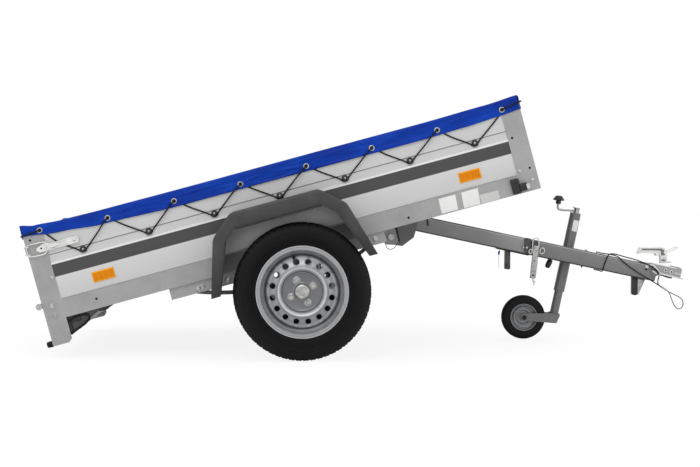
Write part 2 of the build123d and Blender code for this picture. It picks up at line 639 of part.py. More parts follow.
with BuildPart(BOX) as tilt_pin:
    reach = BRACKET_GAP + BRACKET_PLATE
    cross_rod(BOX, PIVOT_AHEAD, PIVOT_W, PIN_RADIUS, (-reach - 3, reach + 3))
    for _, side in SIDES:
        cross_rod(BOX, PIVOT_AHEAD, PIVOT_W, PIN_RADIUS + 5, (side * (reach + 0.3),
                                                              side * (reach + 8)))
finish(tilt_pin, "tilt_pin")

# ---------------------------------------------------------------- tarpaulin and its lacing
TARP_OUT = HALF_WIDTH + TARP_GAP
with BuildPart(BOX) as tarp:
    block((REAR, FRONT + FLAP_REACH), (-TARP_OUT - TARP_THICKNESS, TARP_OUT + TARP_THICKNESS),
          (TARP_HIGH - TARP_SKIRT, TARP_HIGH))
    block((REAR, FRONT + TARP_GAP), (-TARP_OUT, TARP_OUT),
          (TARP_HIGH - TARP_SKIRT, TARP_LOW), mode=Mode.SUBTRACT)
finish(tarp, "tarp")

with BuildPart(BOX) as tarp_flap:
    block((REAR - FLAP_REACH, REAR - TARP_GAP), (-TARP_OUT - TARP_THICKNESS + 8,
                                                TARP_OUT + TARP_THICKNESS - 8),
          (TARP_HIGH - TARP_SKIRT, TARP_HIGH))
finish(tarp_flap, "tarp_flap")

EYELET_COUNT = 8
EYELET_FIRST = FRONT - 74.0
EYELET_LAST = REAR + 72.0
EYELET_PITCH = (EYELET_FIRST - EYELET_LAST) / (EYELET_COUNT - 1)
EYELET_W = RIM_TOP - 39.0
KNOB_FIRST = EYELET_FIRST - 139.0
KNOB_PITCH = EYELET_PITCH - 2.2
KNOB_W = RAIL_TOP + 170.0
KNOB_RADIUS = 12.5
KNOB_DEPTH = 14.0
knob_places = [KNOB_FIRST - KNOB_PITCH * n for n in range(EYELET_COUNT - 1)]
eyelet_places = [EYELET_FIRST - EYELET_PITCH * n for n in range(EYELET_COUNT)]
front_knobs = (-400.0, -135.0, 135.0, 400.0)
with BuildPart(BOX) as lacing_knobs:
    for _, side in SIDES:
        for place in knob_places:
            cross_rod(BOX, place, KNOB_W, KNOB_RADIUS * 0.6, (side * wall_outer,
                                                              side * (wall_outer + 7)))
            cross_rod(BOX, place, KNOB_W, KNOB_RADIUS, (side * (wall_outer + 7),
                                                        side * (wall_outer + KNOB_DEPTH)))
    for across in front_knobs:
        rod(BOX, (WALL_FRONT, across, KNOB_W), (WALL_FRONT + 7, across, KNOB_W),
            KNOB_RADIUS * 0.6)
        rod(BOX, (WALL_FRONT + 7, across, KNOB_W), (WALL_FRONT + KNOB_DEPTH, across, KNOB_W),
            KNOB_RADIUS)
finish(lacing_knobs, "lacing_knobs")

LATCH_END = 212.0
SKIRT_EDGE = TARP_HIGH - TARP_SKIRT
lace_out = TARP_OUT + TARP_THICKNESS + CORD_RADIUS + 0.4
lace_in = wall_outer + 3.5
with BuildPart(BOX) as lacing_cord:
    for _, side in SIDES:
        for place, eyelet in zip(knob_places, eyelet_places):
            shown = 0.5 if place == knob_places[-1] else 1.0
            cord(BOX, (
                (eyelet, side * lace_out, EYELET_W),
                (place + (eyelet - place) * 0.70, side * lace_out, SKIRT_EDGE - 7),
                (place + 8.0, side * lace_in, KNOB_W - 10.0),
                (place - 9.0, side * lace_in, KNOB_W - 10.5),
                (place - 96.0 * shown, side * lace_in,
                 KNOB_W - 10.5 + (SKIRT_EDGE - 5 - KNOB_W + 10.5) * shown),
            ), CORD_RADIUS)
finish(lacing_cord, "lacing_cord")

# ---------------------------------------------------------------- tailgate latches on the walls
LATCH_W = RAIL_TOP + 216.0
with BuildPart(BOX) as tailgate_latches:
    for _, side in SIDES:
        block((REAR + 86, REAR + LATCH_END), (side * wall_outer, side * (wall_outer + 4)),
              (LATCH_W - 14, LATCH_W + 14))
        block((REAR + 16, REAR + 86), (side * HALF_WIDTH, side * (HALF_WIDTH + 9)),
              (LATCH_W - 8, LATCH_W + 12))
        block((REAR + 86, REAR + 110), (side * (wall_outer + 4), side * (HALF_WIDTH + 9)),
              (LATCH_W - 8, LATCH_W + 12))
finish(tailgate_latches, "tailgate_latches")

# ---------------------------------------------------------------- tailgate
HINGE_U = REAR - HINGE_BEHIND
HINGE_W = RAIL_TOP - 8.0
HINGE_PIN = 5.0
KNUCKLE = 9.0
GATE_LOW = RAIL_TOP + 5.0
GATE_HALF = INNER_HALF - GATE_SIDE_GAP
HINGE_OUT = HALF_WIDTH - 10.0
with BuildPart(BOX) as tailgate:
    block((REAR, REAR + GATE_THICKNESS), (-GATE_HALF, GATE_HALF), (GATE_LOW, RIM_TOP - 8))
finish(tailgate, "tailgate")

LEAF_OUT = 20.0
LEAF_WIDTH = 40.0
LEAF_HEIGHT = 60.0
with BuildPart(BOX) as gate_fittings:
    for _, side in SIDES:
        leaf_y = (side * (HINGE_OUT - LEAF_OUT - LEAF_WIDTH), side * (HINGE_OUT - LEAF_OUT))
        cross_rod(BOX, HINGE_U, HINGE_W, KNUCKLE, leaf_y)
        block((HINGE_U - 4, REAR), leaf_y, (HINGE_W, HINGE_W + KNUCKLE))
        block((REAR - STEEL, REAR), leaf_y, (HINGE_W, GATE_LOW + LEAF_HEIGHT))
        cross_rod(BOX, HINGE_U, HINGE_W, HINGE_PIN + RUNNING_FIT, leaf_y, mode=Mode.SUBTRACT)
        block((REAR - 7, REAR), (side * (GATE_HALF - 24), side * GATE_HALF),
              (LATCH_W - 10, LATCH_W + 18))
    for across in front_knobs:
        rod(BOX, (REAR, across, KNOB_W), (REAR - 7, across, KNOB_W), KNOB_RADIUS * 0.6)
        rod(BOX, (REAR - 7, across, KNOB_W), (REAR - KNOB_DEPTH, across, KNOB_W), KNOB_RADIUS)
finish(gate_fittings, "gate_fittings")

with BuildPart(BOX) as gate_hinges:
    for _, side in SIDES:
        cross_rod(BOX, HINGE_U, HINGE_W, HINGE_PIN, (side * (HINGE_OUT - 64),
                                                     side * (HALF_WIDTH + 3)))
        cross_rod(BOX, HINGE_U, HINGE_W, KNUCKLE, (side * (HINGE_OUT - 14), side * HALF_WIDTH))
        block((HINGE_U, REAR + STEEL), (side * (HINGE_OUT - 14), side * INNER_HALF),
              (HINGE_W - KNUCKLE, HINGE_W))
        cross_rod(BOX, HINGE_U, HINGE_W, 13.0, (side * HALF_WIDTH, side * (HALF_WIDTH + 8)))
finish(gate_hinges, "gate_hinges")

# ---------------------------------------------------------------- drawbar
BAR_HALF = BAR_SIZE / 2
with BuildPart(BAR) as drawbar:
    side_plate(BAR, ((BAR_START, BAR_LIFT), (BAR_END + BAR_MITRE, BAR_LIFT), (BAR_END, BAR_TOP),
                     (BAR_START, BAR_TOP)), (-BAR_HALF, BAR_HALF))
    fillet(drawbar.edges().filter_by(Axis(BAR.origin, BAR.x_dir)), BAR_CORNER)
    block((BAR_START, BAR_END + BAR_MITRE), (-BAR_HALF + BAR_WALL, BAR_HALF - BAR_WALL),
          (BAR_LIFT + BAR_WALL, BAR_TOP - BAR_WALL), mode=Mode.SUBTRACT)
finish(drawbar, "drawbar_tube")

EAR_PLATE = 6.0
ear_outline = (
    # along the drawbar from the tilt pin, square to it
    (-26.0, -12.0), (-12.0, -27.0), (35.0, -31.0), (57.0, -30.0), (99.0, 18.0), (102.0, 52.0),
    (99.0, 106.0), (68.0, 106.0), (40.0, 55.0), (-16.0, 24.0),
)
with BuildPart(BAR) as pivot_plates:
    for _, side in SIDES:
        y_range = (side * BAR_HALF, side * (BAR_HALF + EAR_PLATE))
        side_plate(BAR, ear_outline, y_range)
        cross_rod(BAR, 0, 0, PIN_RADIUS + RUNNING_FIT, y_range, mode=Mode.SUBTRACT)
finish(pivot_plates, "pivot_plates")

COUPLING_HALF = 31.0
COUPLING_BACK = BAR_TOP + 9.0
with BuildPart(BAR) as coupling:
    rod(BAR, (SOCKET_AT, 0, COUPLING_LOW), (SOCKET_AT, 0, COUPLING_HIGH), CUP_RADIUS)
    chamfer(coupling.edges().sort_by(Axis(BAR.origin, BAR.z_dir))[-1:], NOSE_CHAMFER)
    side_plate(BAR, ((BAR_END - 30, BAR_TOP), (BAR_END + 60, COUPLING_BACK),
                     (SOCKET_AT - 30, COUPLING_BACK), (SOCKET_AT, COUPLING_HIGH),
                     (SOCKET_AT, COUPLING_LOW),
                     (BAR_END + BAR_MITRE + 14, COUPLING_LOW), (BAR_END + 4, BAR_TOP)),
               (-COUPLING_HALF, COUPLING_HALF))
    rod(BAR, (SOCKET_AT, 0, COUPLING_LOW), (SOCKET_AT, 0, COUPLING_LOW + SOCKET_DEPTH),
        SOCKET_RADIUS, mode=Mode.SUBTRACT)
finish(coupling, "coupling_head")

HANDLE_HALF = 13.0
handle_outline = (
    # along from the socket's centre, above the coupling's back
    (-180.0, 26.0), (-176.0, 54.0), (-73.0, 71.0), (-60.0, 67.0), (-52.0, 52.0), (-49.0, 24.0),
    (-25.0, 21.0), (-25.0, 16.0), (-50.0, 10.0), (-50.0, 0.0), (-72.0, 0.0), (-77.0, 14.0),
    (-81.0, 34.0), (-92.0, 40.0), (-112.0, 39.0), (-167.0, 33.0),
)
with BuildPart(BAR) as coupling_handle:
    side_plate(BAR, [(SOCKET_AT + s, COUPLING_BACK + t) for s, t in handle_outline],
               (-HANDLE_HALF, HANDLE_HALF))
finish(coupling_handle, "coupling_handle")

CLAMP_PLATE = 6.0
LEVER_THICKNESS = 6.0
LOCK_AT = JOCKEY_AT - 168.0
lock_plate = ((-42.0, BAR_LIFT + 6), (44.0, BAR_LIFT + 6), (48.0, BAR_TOP - 10),
              (-48.0, BAR_TOP - 10))
lock_lever = ((-7.0, 77.0), (17.0, 81.0), (34.0, -50.0), (36.0, -77.0), (30.0, -78.0),
              (15.0, -53.0))
with BuildPart(BAR) as lock_clamp:
    lever_y = -BAR_HALF - CLAMP_PLATE
    side_plate(BAR, [(LOCK_AT + s, t) for s, t in lock_plate], (lever_y, -BAR_HALF))
    cross_rod(BAR, LOCK_AT + 34, BAR_LIFT + 31, 15.0, (lever_y - CLAMP_PLATE, lever_y))
    side_plate(BAR, [(LOCK_AT + s, t) for s, t in lock_lever],
               (lever_y - LEVER_THICKNESS, lever_y))
finish(lock_clamp, "lock_clamp")

STUB_BACK = 288.0          # rear stub behind the jockey wheel's tube
STUB_HALF = 13.0
WEB_BACK = 9.0
WEB_HALF = 2.0
STUB_FRONT_BACK = 35.0     # front stub behind the end of the tube's top
stub_brackets = (
    # rear top corner along the drawbar, half width, outline from that corner
    (JOCKEY_AT - STUB_BACK, STUB_HALF,
     ((0, BAR_LIFT), (23, BAR_LIFT), (39, -30.0), (16, -35.0))),
    (BAR_END - STUB_FRONT_BACK, STUB_HALF,
     ((0, BAR_LIFT), (26, BAR_LIFT), (40, -24.0), (16, -29.0))),
    (BAR_END - WEB_BACK, WEB_HALF, ((0, BAR_LIFT), (36, BAR_LIFT), (21, -25.0), (14, -24.0))),
)
with BuildPart(BAR) as bar_brackets:
    for corner, half, outline in stub_brackets:
        side_plate(BAR, [(corner + s, t) for s, t in outline], (-half, half))
finish(bar_brackets, "bar_brackets")

# ---------------------------------------------------------------- jockey wheel
CLAMP_LOW = BAR_LIFT + 4.0
CLAMP_HIGH = BAR_TOP - 8.0
with BuildPart(BAR) as jockey_clamp:
    rod(BAR, (JOCKEY_AT, JOCKEY_SIDE, CLAMP_LOW), (JOCKEY_AT, JOCKEY_SIDE, CLAMP_HIGH),
        OUTER_TUBE_RADIUS + 7)
    block((JOCKEY_AT - 38, JOCKEY_AT + 38), (BAR_HALF, BAR_HALF + 8), (CLAMP_LOW, CLAMP_HIGH))
    block((JOCKEY_AT - 30, JOCKEY_AT + 30), (BAR_HALF + 8, JOCKEY_SIDE), (CLAMP_LOW, CLAMP_HIGH))
    rod(BAR, (JOCKEY_AT, JOCKEY_SIDE, CLAMP_LOW), (JOCKEY_AT, JOCKEY_SIDE, CLAMP_HIGH),
        OUTER_TUBE_RADIUS + 0.3, mode=Mode.SUBTRACT)
finish(jockey_clamp, "jockey_clamp")

with BuildPart(BAR) as outer_tube:
    rod(BAR, (JOCKEY_AT, JOCKEY_SIDE, OUTER_TUBE_LOW), (JOCKEY_AT, JOCKEY_SIDE, OUTER_TUBE_HIGH),
        OUTER_TUBE_RADIUS)
    rod(BAR, (JOCKEY_AT, JOCKEY_SIDE, OUTER_TUBE_LOW),
        (JOCKEY_AT, JOCKEY_SIDE, OUTER_TUBE_HIGH - 4), OUTER_TUBE_RADIUS - OUTER_TUBE_WALL,
        mode=Mode.SUBTRACT)
finish(outer_tube, "jockey_outer_tube")

CRANK_HEAD = 20.0
crank_rods = (
    # start and end (from the outer tube's top centre, along and square to the bar), radius
    ((0.0, 0.0), (0.0, CRANK_HEAD), 14.0),
    ((-6.0, 11.0), (-80.0, 1.0), 5.5),
    ((-82.0, 0.0), (-86.0, 28.0), 5.5),
    ((-85.5, 24.0), (-88.0, 40.0), 11.5),
    ((-87.4, 36.0), (-88.6, 46.0), 25.0),
    ((-88.6, 46.0), (-90.0, 58.0), 18.0),
)
with BuildPart(BAR) as crank:
    for low, high, radius in crank_rods:
        rod(BAR, (JOCKEY_AT + low[0], JOCKEY_SIDE, OUTER_TUBE_HIGH + low[1]),
            (JOCKEY_AT + high[0], JOCKEY_SIDE, OUTER_TUBE_HIGH + high[1]), radius)
finish(crank, "jockey_crank")

KNUCKLE_TOP = KNUCKLE_AT + 18.0
INNER_LENGTH = 330.0
GUIDE_RADIUS = OUTER_TUBE_RADIUS - OUTER_TUBE_WALL - RUNNING_FIT
with BuildPart(BAR) as inner_tube:
    rod(BAR, (JOCKEY_AT, JOCKEY_SIDE, KNUCKLE_TOP),
        (JOCKEY_AT, JOCKEY_SIDE, KNUCKLE_TOP + INNER_LENGTH), INNER_TUBE_RADIUS)
    rod(BAR, (JOCKEY_AT, JOCKEY_SIDE, KNUCKLE_TOP + INNER_LENGTH - 60),
        (JOCKEY_AT, JOCKEY_SIDE, KNUCKLE_TOP + INNER_LENGTH), GUIDE_RADIUS)
finish(inner_tube, "jockey_inner_tube")

FORK_INNER = JOCKEY_WHEEL_WIDTH / 2 + 5.0
FORK_PLATE = 4.0
AXLE_AT = JOCKEY_AT - JOCKEY_TRAIL
with BuildPart(BAR) as fork:
    rod(BAR, (JOCKEY_AT, JOCKEY_SIDE, KNUCKLE_TOP - 6), (JOCKEY_AT, JOCKEY_SIDE, KNUCKLE_TOP - 0.3),
        26.0)
    block((JOCKEY_AT - 22, JOCKEY_AT + 22), (JOCKEY_SIDE - FORK_INNER - FORK_PLATE,
                                             JOCKEY_SIDE + FORK_INNER + FORK_PLATE),
          (KNUCKLE_TOP - 12, KNUCKLE_TOP - 6))
    for _, side in SIDES:
        y_range = (JOCKEY_SIDE + side * FORK_INNER, JOCKEY_SIDE + side * (FORK_INNER + FORK_PLATE))
        side_plate(BAR, ((JOCKEY_AT + 22, KNUCKLE_TOP - 6), (JOCKEY_AT + 14, KNUCKLE_TOP - 44),
                         (AXLE_AT - 12, JOCKEY_AXLE_T - 16), (AXLE_AT - 18, JOCKEY_AXLE_T + 8),
                         (AXLE_AT - 4, JOCKEY_AXLE_T + 18), (JOCKEY_AT - 22, KNUCKLE_TOP - 6)),
                   y_range)
    cross_rod(BAR, AXLE_AT, JOCKEY_AXLE_T, 8.0, (JOCKEY_SIDE - FORK_INNER - FORK_PLATE - 7,
                                                 JOCKEY_SIDE + FORK_INNER + FORK_PLATE + 7))
finish(fork, "jockey_fork")

half_jockey = JOCKEY_WHEEL_WIDTH / 2
JOCKEY_RIM_RADIUS = 58.0
with BuildPart() as jockey_tyre:
    turn(((half_jockey - 3, JOCKEY_RIM_RADIUS + 0.3), (half_jockey, JOCKEY_RIM_RADIUS + 12),
          (half_jockey - 2, JOCKEY_WHEEL_RADIUS - 14), (half_jockey - 12, JOCKEY_WHEEL_RADIUS),
          (-half_jockey + 12, JOCKEY_WHEEL_RADIUS), (-half_jockey + 2, JOCKEY_WHEEL_RADIUS - 14),
          (-half_jockey, JOCKEY_RIM_RADIUS + 12), (-half_jockey + 3, JOCKEY_RIM_RADIUS + 0.3)),
         JOCKEY_SIDE, 1, centre=(AXLE_AT, JOCKEY_AXLE_T), frame=BAR)
finish(jockey_tyre, "jockey_tyre")

with BuildPart() as jockey_rim:
    turn(((half_jockey - 3, JOCKEY_RIM_RADIUS), (half_jockey - 4, JOCKEY_RIM_RADIUS - 5),
          (4, JOCKEY_RIM_RADIUS - 8), (4, 22), (half_jockey - 1, 20),
          (half_jockey - 1, 8 + RUNNING_FIT), (-half_jockey + 1, 8 + RUNNING_FIT),
          (-half_jockey + 1, 20), (-4, 22), (-4, JOCKEY_RIM_RADIUS - 8),
          (-half_jockey + 4, JOCKEY_RIM_RADIUS - 5), (-half_jockey + 3, JOCKEY_RIM_RADIUS)),
         JOCKEY_SIDE, 1, centre=(AXLE_AT, JOCKEY_AXLE_T), frame=BAR)
finish(jockey_rim, "jockey_rim")

# ---------------------------------------------------------------- safety cable
# Points are (along, across, square to) the drawbar. Both strands leave the ferrule,
# run back beside the coupling and meet round the tube.
face = BAR_HALF + CABLE_RADIUS + 0.4
over = BAR_TOP + CABLE_RADIUS + 0.4
under = BAR_LIFT - CABLE_RADIUS - 0.4
FERRULE_IN = (1214.0, -46.0, 30.0)
FERRULE_OUT = (1238.0, -46.0, 21.0)
STRAND = CABLE_RADIUS + 0.3
cable_route = (
    (FERRULE_IN[0], FERRULE_IN[1] - STRAND, FERRULE_IN[2]),
    (1176.0, FERRULE_IN[1] - STRAND, 44.25),
    (1122.0, -46.0, 62.0),
    (1074.0, -40.7, 80.0),
    (1026.0, -face - 1.0, 102.0),
    (1000.0, -37.0, 122.0),
    (966.0, -18.0, over + 3.0),
    (940.0, 6.0, over + 0.4),
    (918.0, face, over),
    (920.0, face, under),
    (944.0, -face, under),
    (953.0, -face, over + 1.0),
    (978.0, -38.0, over + 10.0),
    (1030.0, -25.0, over + 6.0),
    (1076.0, -31.0, over + 4.6),
    (1120.0, -40.7, 118.0),
    (1164.0, FERRULE_IN[1] + STRAND, 105.5),
    (1186.0, FERRULE_IN[1] + STRAND, 93.5),
    (1195.0, FERRULE_IN[1] + STRAND, 76.0),
    (1192.0, FERRULE_IN[1] + STRAND, 54.0),
    (1198.0, FERRULE_IN[1] + STRAND, 36.0),
    (FERRULE_IN[0], FERRULE_IN[1] + STRAND, FERRULE_IN[2]),
)
with BuildPart(BAR) as safety_cable:
    edge = BAR_CORNER + CABLE_RADIUS + 0.4
    cord(BAR, cable_route, CABLE_RADIUS, edge_arcs={8: edge, 9: edge, 10: edge, 11: edge})
finish(safety_cable, "safety_cable")

loop_route = (
    (FERRULE_OUT[0], FERRULE_OUT[1] + STRAND, FERRULE_OUT[2]),
    (1262.0, FERRULE_OUT[1] + STRAND, 12.0),
    (1297.0, -44.0, 5.0),
    (1317.0, -44.0, -4.0),
    (1326.0, -45.0, -23.0),
    (1323.0, -46.0, -41.0),
    (1310.0, -47.0, -50.0),
    (1295.0, -48.0, -46.0),
    (1280.0, FERRULE_OUT[1] - STRAND, -30.0),
    (1262.0, FERRULE_OUT[1] - STRAND, -2.0),
    (1250.0, FERRULE_OUT[1] - STRAND, 16.5),
    (FERRULE_OUT[0], FERRULE_OUT[1] - STRAND, FERRULE_OUT[2]),
)
with BuildPart(BAR) as cable_loop:
    cord(BAR, loop_route, CABLE_RADIUS)
finish(cable_loop, "cable_loop")

with BuildPart(BAR) as ferrule:
    ferrule_start = BAR.from_local_coords(Vector(*FERRULE_IN))
    ferrule_end = BAR.from_local_coords(Vector(*FERRULE_OUT))
    with BuildSketch(Plane(origin=ferrule_start, x_dir=(0, 1, 0),
                           z_dir=ferrule_end - ferrule_start)) as oval:
        SlotOverall(4 * CABLE_RADIUS + 4, 2 * CABLE_RADIUS + 3.4)
    extrude(oval.sketch, amount=(ferrule_end - ferrule_start).length)
finish(ferrule, "cable_ferrule")
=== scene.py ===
# %% [markdown]
# # A small tipping garden trailer
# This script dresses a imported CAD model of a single-axle trailer. The box is tipped to the
# rear, the drawbar slopes down to the front and the jockey wheel carries it. The CAD solids
# give every place and every moving body. Blender gives the cloth, the rubber, the plastic and
# the metal that a solid can't show. Each step below first says what the piece is on a real
# trailer, then how it could be made, and then why this way was chosen.

# %% Load the frame
import math

import bmesh
import bpy
from mathutils import Matrix, Vector, noise


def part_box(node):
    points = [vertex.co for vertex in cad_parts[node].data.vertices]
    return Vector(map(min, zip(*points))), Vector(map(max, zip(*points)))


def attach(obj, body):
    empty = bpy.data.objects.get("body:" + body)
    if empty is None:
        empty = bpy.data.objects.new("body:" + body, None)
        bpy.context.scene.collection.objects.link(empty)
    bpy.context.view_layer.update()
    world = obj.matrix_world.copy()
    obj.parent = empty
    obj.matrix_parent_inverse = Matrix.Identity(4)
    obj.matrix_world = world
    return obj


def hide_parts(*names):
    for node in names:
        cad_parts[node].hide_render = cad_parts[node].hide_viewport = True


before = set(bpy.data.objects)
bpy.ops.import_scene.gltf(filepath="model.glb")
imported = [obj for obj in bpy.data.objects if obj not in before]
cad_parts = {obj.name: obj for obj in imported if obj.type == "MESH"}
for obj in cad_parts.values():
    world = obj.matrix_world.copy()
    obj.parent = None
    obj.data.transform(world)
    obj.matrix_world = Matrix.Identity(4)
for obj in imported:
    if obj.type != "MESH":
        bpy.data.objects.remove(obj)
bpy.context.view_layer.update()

# %% [markdown]
# ## Two working planes
# The box and the drawbar are each drawn along their own slope, as the workshop drawing of a
# tipping trailer does. It would also work to model everything level and to tilt it at the end,
# but then a moved or turned object would be exported from the wrong place. So each piece is
# made in millimetres along its own slope, and its points are carried from the frame of its
# body to the ground frame, in metres, before the object exists.

# %% The box frame and the drawbar frame
TIP = math.radians(15.1)
SLOPE = math.radians(12.0)
PIN_IN_BOX = Vector((429.0, 0.0, 80.0))
MILLIMETRES = Matrix.Scale(0.001, 4)
SIDES = (-1.0, 1.0)
NAMED_SIDES = (("right", -1.0), ("left", 1.0))

tyre_low, tyre_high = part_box("tyre_right")
AXLE = Vector(((tyre_low[0] + tyre_high[0]) / 2, 0.0, (tyre_low[2] + tyre_high[2]) / 2))
BOX = Matrix.Translation(AXLE) @ Matrix.Rotation(-TIP, 4, "Y") @ MILLIMETRES
PIVOT = BOX @ PIN_IN_BOX
BAR = Matrix.Translation(PIVOT) @ Matrix.Rotation(SLOPE, 4, "Y") @ MILLIMETRES
WHEEL = Matrix.Translation(AXLE) @ MILLIMETRES
HOME = {"chassis": BOX, "tailgate": BOX, "drawbar": BAR, "wheel_right": WHEEL,
        "wheel_left": WHEEL}
print("axle at", [round(v, 4) for v in AXLE], "tilt pin at", [round(v, 4) for v in PIVOT])

# %% Put an object into the scene
def placed(name, data):
    """A new object that shows its data, linked to the scene."""
    made = bpy.data.objects.new(name, data)
    bpy.context.scene.collection.objects.link(made)
    return made

# %% [markdown]
# ## The camera
# A trailer is shown to a buyer from the side, from far enough off that the wheel is a circle.
# A long lens of 77 mm does that. Its place and turn come from the wheel, the ground contacts
# and the edges of the box.

# %% The camera
LENS, SENSOR = 77.24, 36.0                 # millimetres
BEHIND_AXLE, AWAY, EYE_HEIGHT = 0.0555, 6.584, 0.718     # metres
LOOK_DOWN, LOOK_ASIDE = 2.12, 2.366        # degrees off level and off square
camera_data = bpy.data.cameras.new("side_camera")
camera_data.sensor_width = SENSOR
camera_data.lens = LENS
camera_data.clip_end = 60.0
camera = placed("side_camera", camera_data)
camera.location = (AXLE.x - BEHIND_AXLE, -AWAY, EYE_HEIGHT)
camera.rotation_euler = (math.radians(90.0 - LOOK_DOWN), 0.0, math.radians(-LOOK_ASIDE))
bpy.context.scene.camera = camera
print("camera at", [round(v, 3) for v in camera.location])

# %% [markdown]
# ## Small workshop helpers
# A few helpers are enough for the solid pieces. One turns a finished bmesh into an object at
# the origin. One makes a plate from a side-view outline, because most of this trailer is
# folded or cut from sheet. One makes a turned part from a profile, because wheels, knobs,
# bolts and tubes are all round.

# %% Make an object from a bmesh
def part(name, bm, body, coat, smooth=30.0, where=None):
    """Carry the mesh from its body's own frame to the ground, shade it and let it ride."""
    home = HOME[body] if where is None else where
    bmesh.ops.transform(bm, matrix=home, verts=bm.verts)
    mesh = bpy.data.meshes.new(name)
    bm.to_mesh(mesh)
    bm.free()
    piece = placed(name, mesh)
    if smooth:
        mesh.shade_smooth()
        mesh.set_sharp_from_angle(angle=math.radians(smooth))
    mesh.materials.append(coat)
    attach(piece, body)
    return piece


# %% A plate from its side view
def plate(bm, outline, y_from, y_to, bevel=0.0, segments=2):
    """A plate with an outline (along, up) between two depths, its rims rounded a little."""
    before = set(bm.verts)
    corners = [bm.verts.new((u, y_from, w)) for u, w in outline]
    face = bm.faces.new(corners)
    grown = bmesh.ops.extrude_face_region(bm, geom=[face])
    moved = [item for item in grown["geom"] if isinstance(item, bmesh.types.BMVert)]
    bmesh.ops.translate(bm, verts=moved, vec=(0.0, y_to - y_from, 0.0))
    fresh = [v for v in bm.verts if v not in before]
    faces = {f for v in fresh for f in v.link_faces}
    bmesh.ops.recalc_face_normals(bm, faces=list(faces))
    if bevel:
        edges = {e for v in fresh for e in v.link_edges if e.calc_face_angle(0.0) > 0.3}
        bmesh.ops.bevel(bm, geom=list(edges), offset=bevel, segments=segments, affect="EDGES",
                        profile=0.5, material=-1, clamp_overlap=True)
    return [v for v in bm.verts if v not in before]


# %% A block between two corners
def block(bm, low, high, bevel=0.0, segments=2):
    """A rectangular piece between two corners."""
    outline = ((low[0], low[2]), (high[0], low[2]), (high[0], high[2]), (low[0], high[2]))
    return plate(bm, outline, low[1], high[1], bevel, segments)


# %% A turned piece
def turned(bm, profile, start, along, steps=32):
    """A turned piece: the profile is (distance along the axis, radius), from the start."""
    before = set(bm.verts)
    axis = Vector(along).normalized()
    across = axis.orthogonal().normalized()
    start = Vector(start)
    spots = [bm.verts.new(start + axis * run + across * radius) for run, radius in profile]
    edges = [bm.edges.new(pair) for pair in zip(spots, spots[1:])]
    bmesh.ops.spin(bm, geom=spots + edges, cent=start, axis=axis, angle=math.tau, steps=steps,
                   use_merge=True)
    fresh = [v for v in bm.verts if v not in before]
    bmesh.ops.remove_doubles(bm, verts=fresh, dist=1e-3)
    fresh = [v for v in bm.verts if v not in before]
    bmesh.ops.recalc_face_normals(bm, faces=list({f for v in fresh for f in v.link_faces}))
    return fresh


# %% Small fasteners, made from the turned piece
def disc(bm, place, along, radius, height, dome=0.0, steps=24):
    """A washer, rivet or button: a short disc with a rounded rim and a domed middle."""
    rim = min(height * 0.4, radius * 0.3)
    profile = [(0.0, 0.0), (0.0, radius), (height - rim, radius),
               (height - rim * 0.3, radius - rim * 0.3), (height, radius - rim)]
    if dome:
        profile += [(height + dome * 0.7, radius * 0.5), (height + dome, radius * 0.2)]
    profile.append((height + dome, 0.0))
    return turned(bm, profile, place, along, steps)


def bolt(bm, place, along, size, height, washer=1.5):
    """A hexagon head with chamfered corners over its washer; size is across the corners."""
    along = Vector(along).normalized()
    disc(bm, place, along, size * 0.68, washer)
    head = Vector(place) + along * washer
    turned(bm, ((0.0, 0.0), (0.0, size / 2), (height * 0.82, size / 2),
                (height, size * 0.43), (height, 0.0)), head, along, 6)


def bar(bm, start, end, radius, steps=14):
    """A round bar between two points."""
    run = Vector(end) - Vector(start)
    long = run.length
    return turned(bm, ((0.0, 0.0), (0.0, radius), (long, radius), (long, 0.0)), start, run,
                  steps)

# %% [markdown]
# ## How a finish is built
# Every surface of the trailer is one shader with a colour, a roughness and a relief that
# follow patterns in space. The same few nodes come back each time, so each has a helper.
# Pictures wrapped round the shapes would be the other way, but they show their seams.

# %% Nodes for a finish
def colour(code):
    """A web colour as linear red, green, blue, alpha."""
    parts = [int(code[i:i + 2], 16) / 255 for i in (1, 3, 5)]
    return (*[c / 12.92 if c <= 0.04045 else ((c + 0.055) / 1.055) ** 2.4 for c in parts], 1.0)


def finish(name, roughness=0.5, metallic=0.0, shade="#808080", **sockets):
    """A new material: its node tree and its shader, with the plain numbers set on sockets."""
    made = bpy.data.materials.new(name)
    made.use_nodes = True
    tree = made.node_tree
    shader = tree.nodes["Principled BSDF"]
    shader.inputs["Base Color"].default_value = colour(shade)
    shader.inputs["Roughness"].default_value = roughness
    shader.inputs["Metallic"].default_value = metallic
    for socket, value in sockets.items():
        shader.inputs[socket.replace("_", " ")].default_value = value
    return made, tree, shader


def node(tree, kind, links=(), **settings):
    """A shader node with its settings, and (socket, value or another's output) pairs."""
    made = tree.nodes.new("ShaderNode" + kind)
    for key, value in settings.items():
        setattr(made, key, value)
    for socket, value in links:
        if isinstance(value, bpy.types.NodeSocket):
            tree.links.new(value, made.inputs[socket])
        else:
            made.inputs[socket].default_value = value
    return made


def maths(tree, operation, *values):
    """The result of a sum over numbers and other nodes' outputs."""
    return node(tree, "Math", enumerate(values), operation=operation).outputs[0]


# %% [markdown]
# ### Patterns in space
# Dust, grain and clouds on a real surface have a size in millimetres and don't stop at an
# edge. Noise read at the object's own coordinates does the same, on a bent sheet as on a
# bolt. A ramp then turns the noise into two or three close shades.

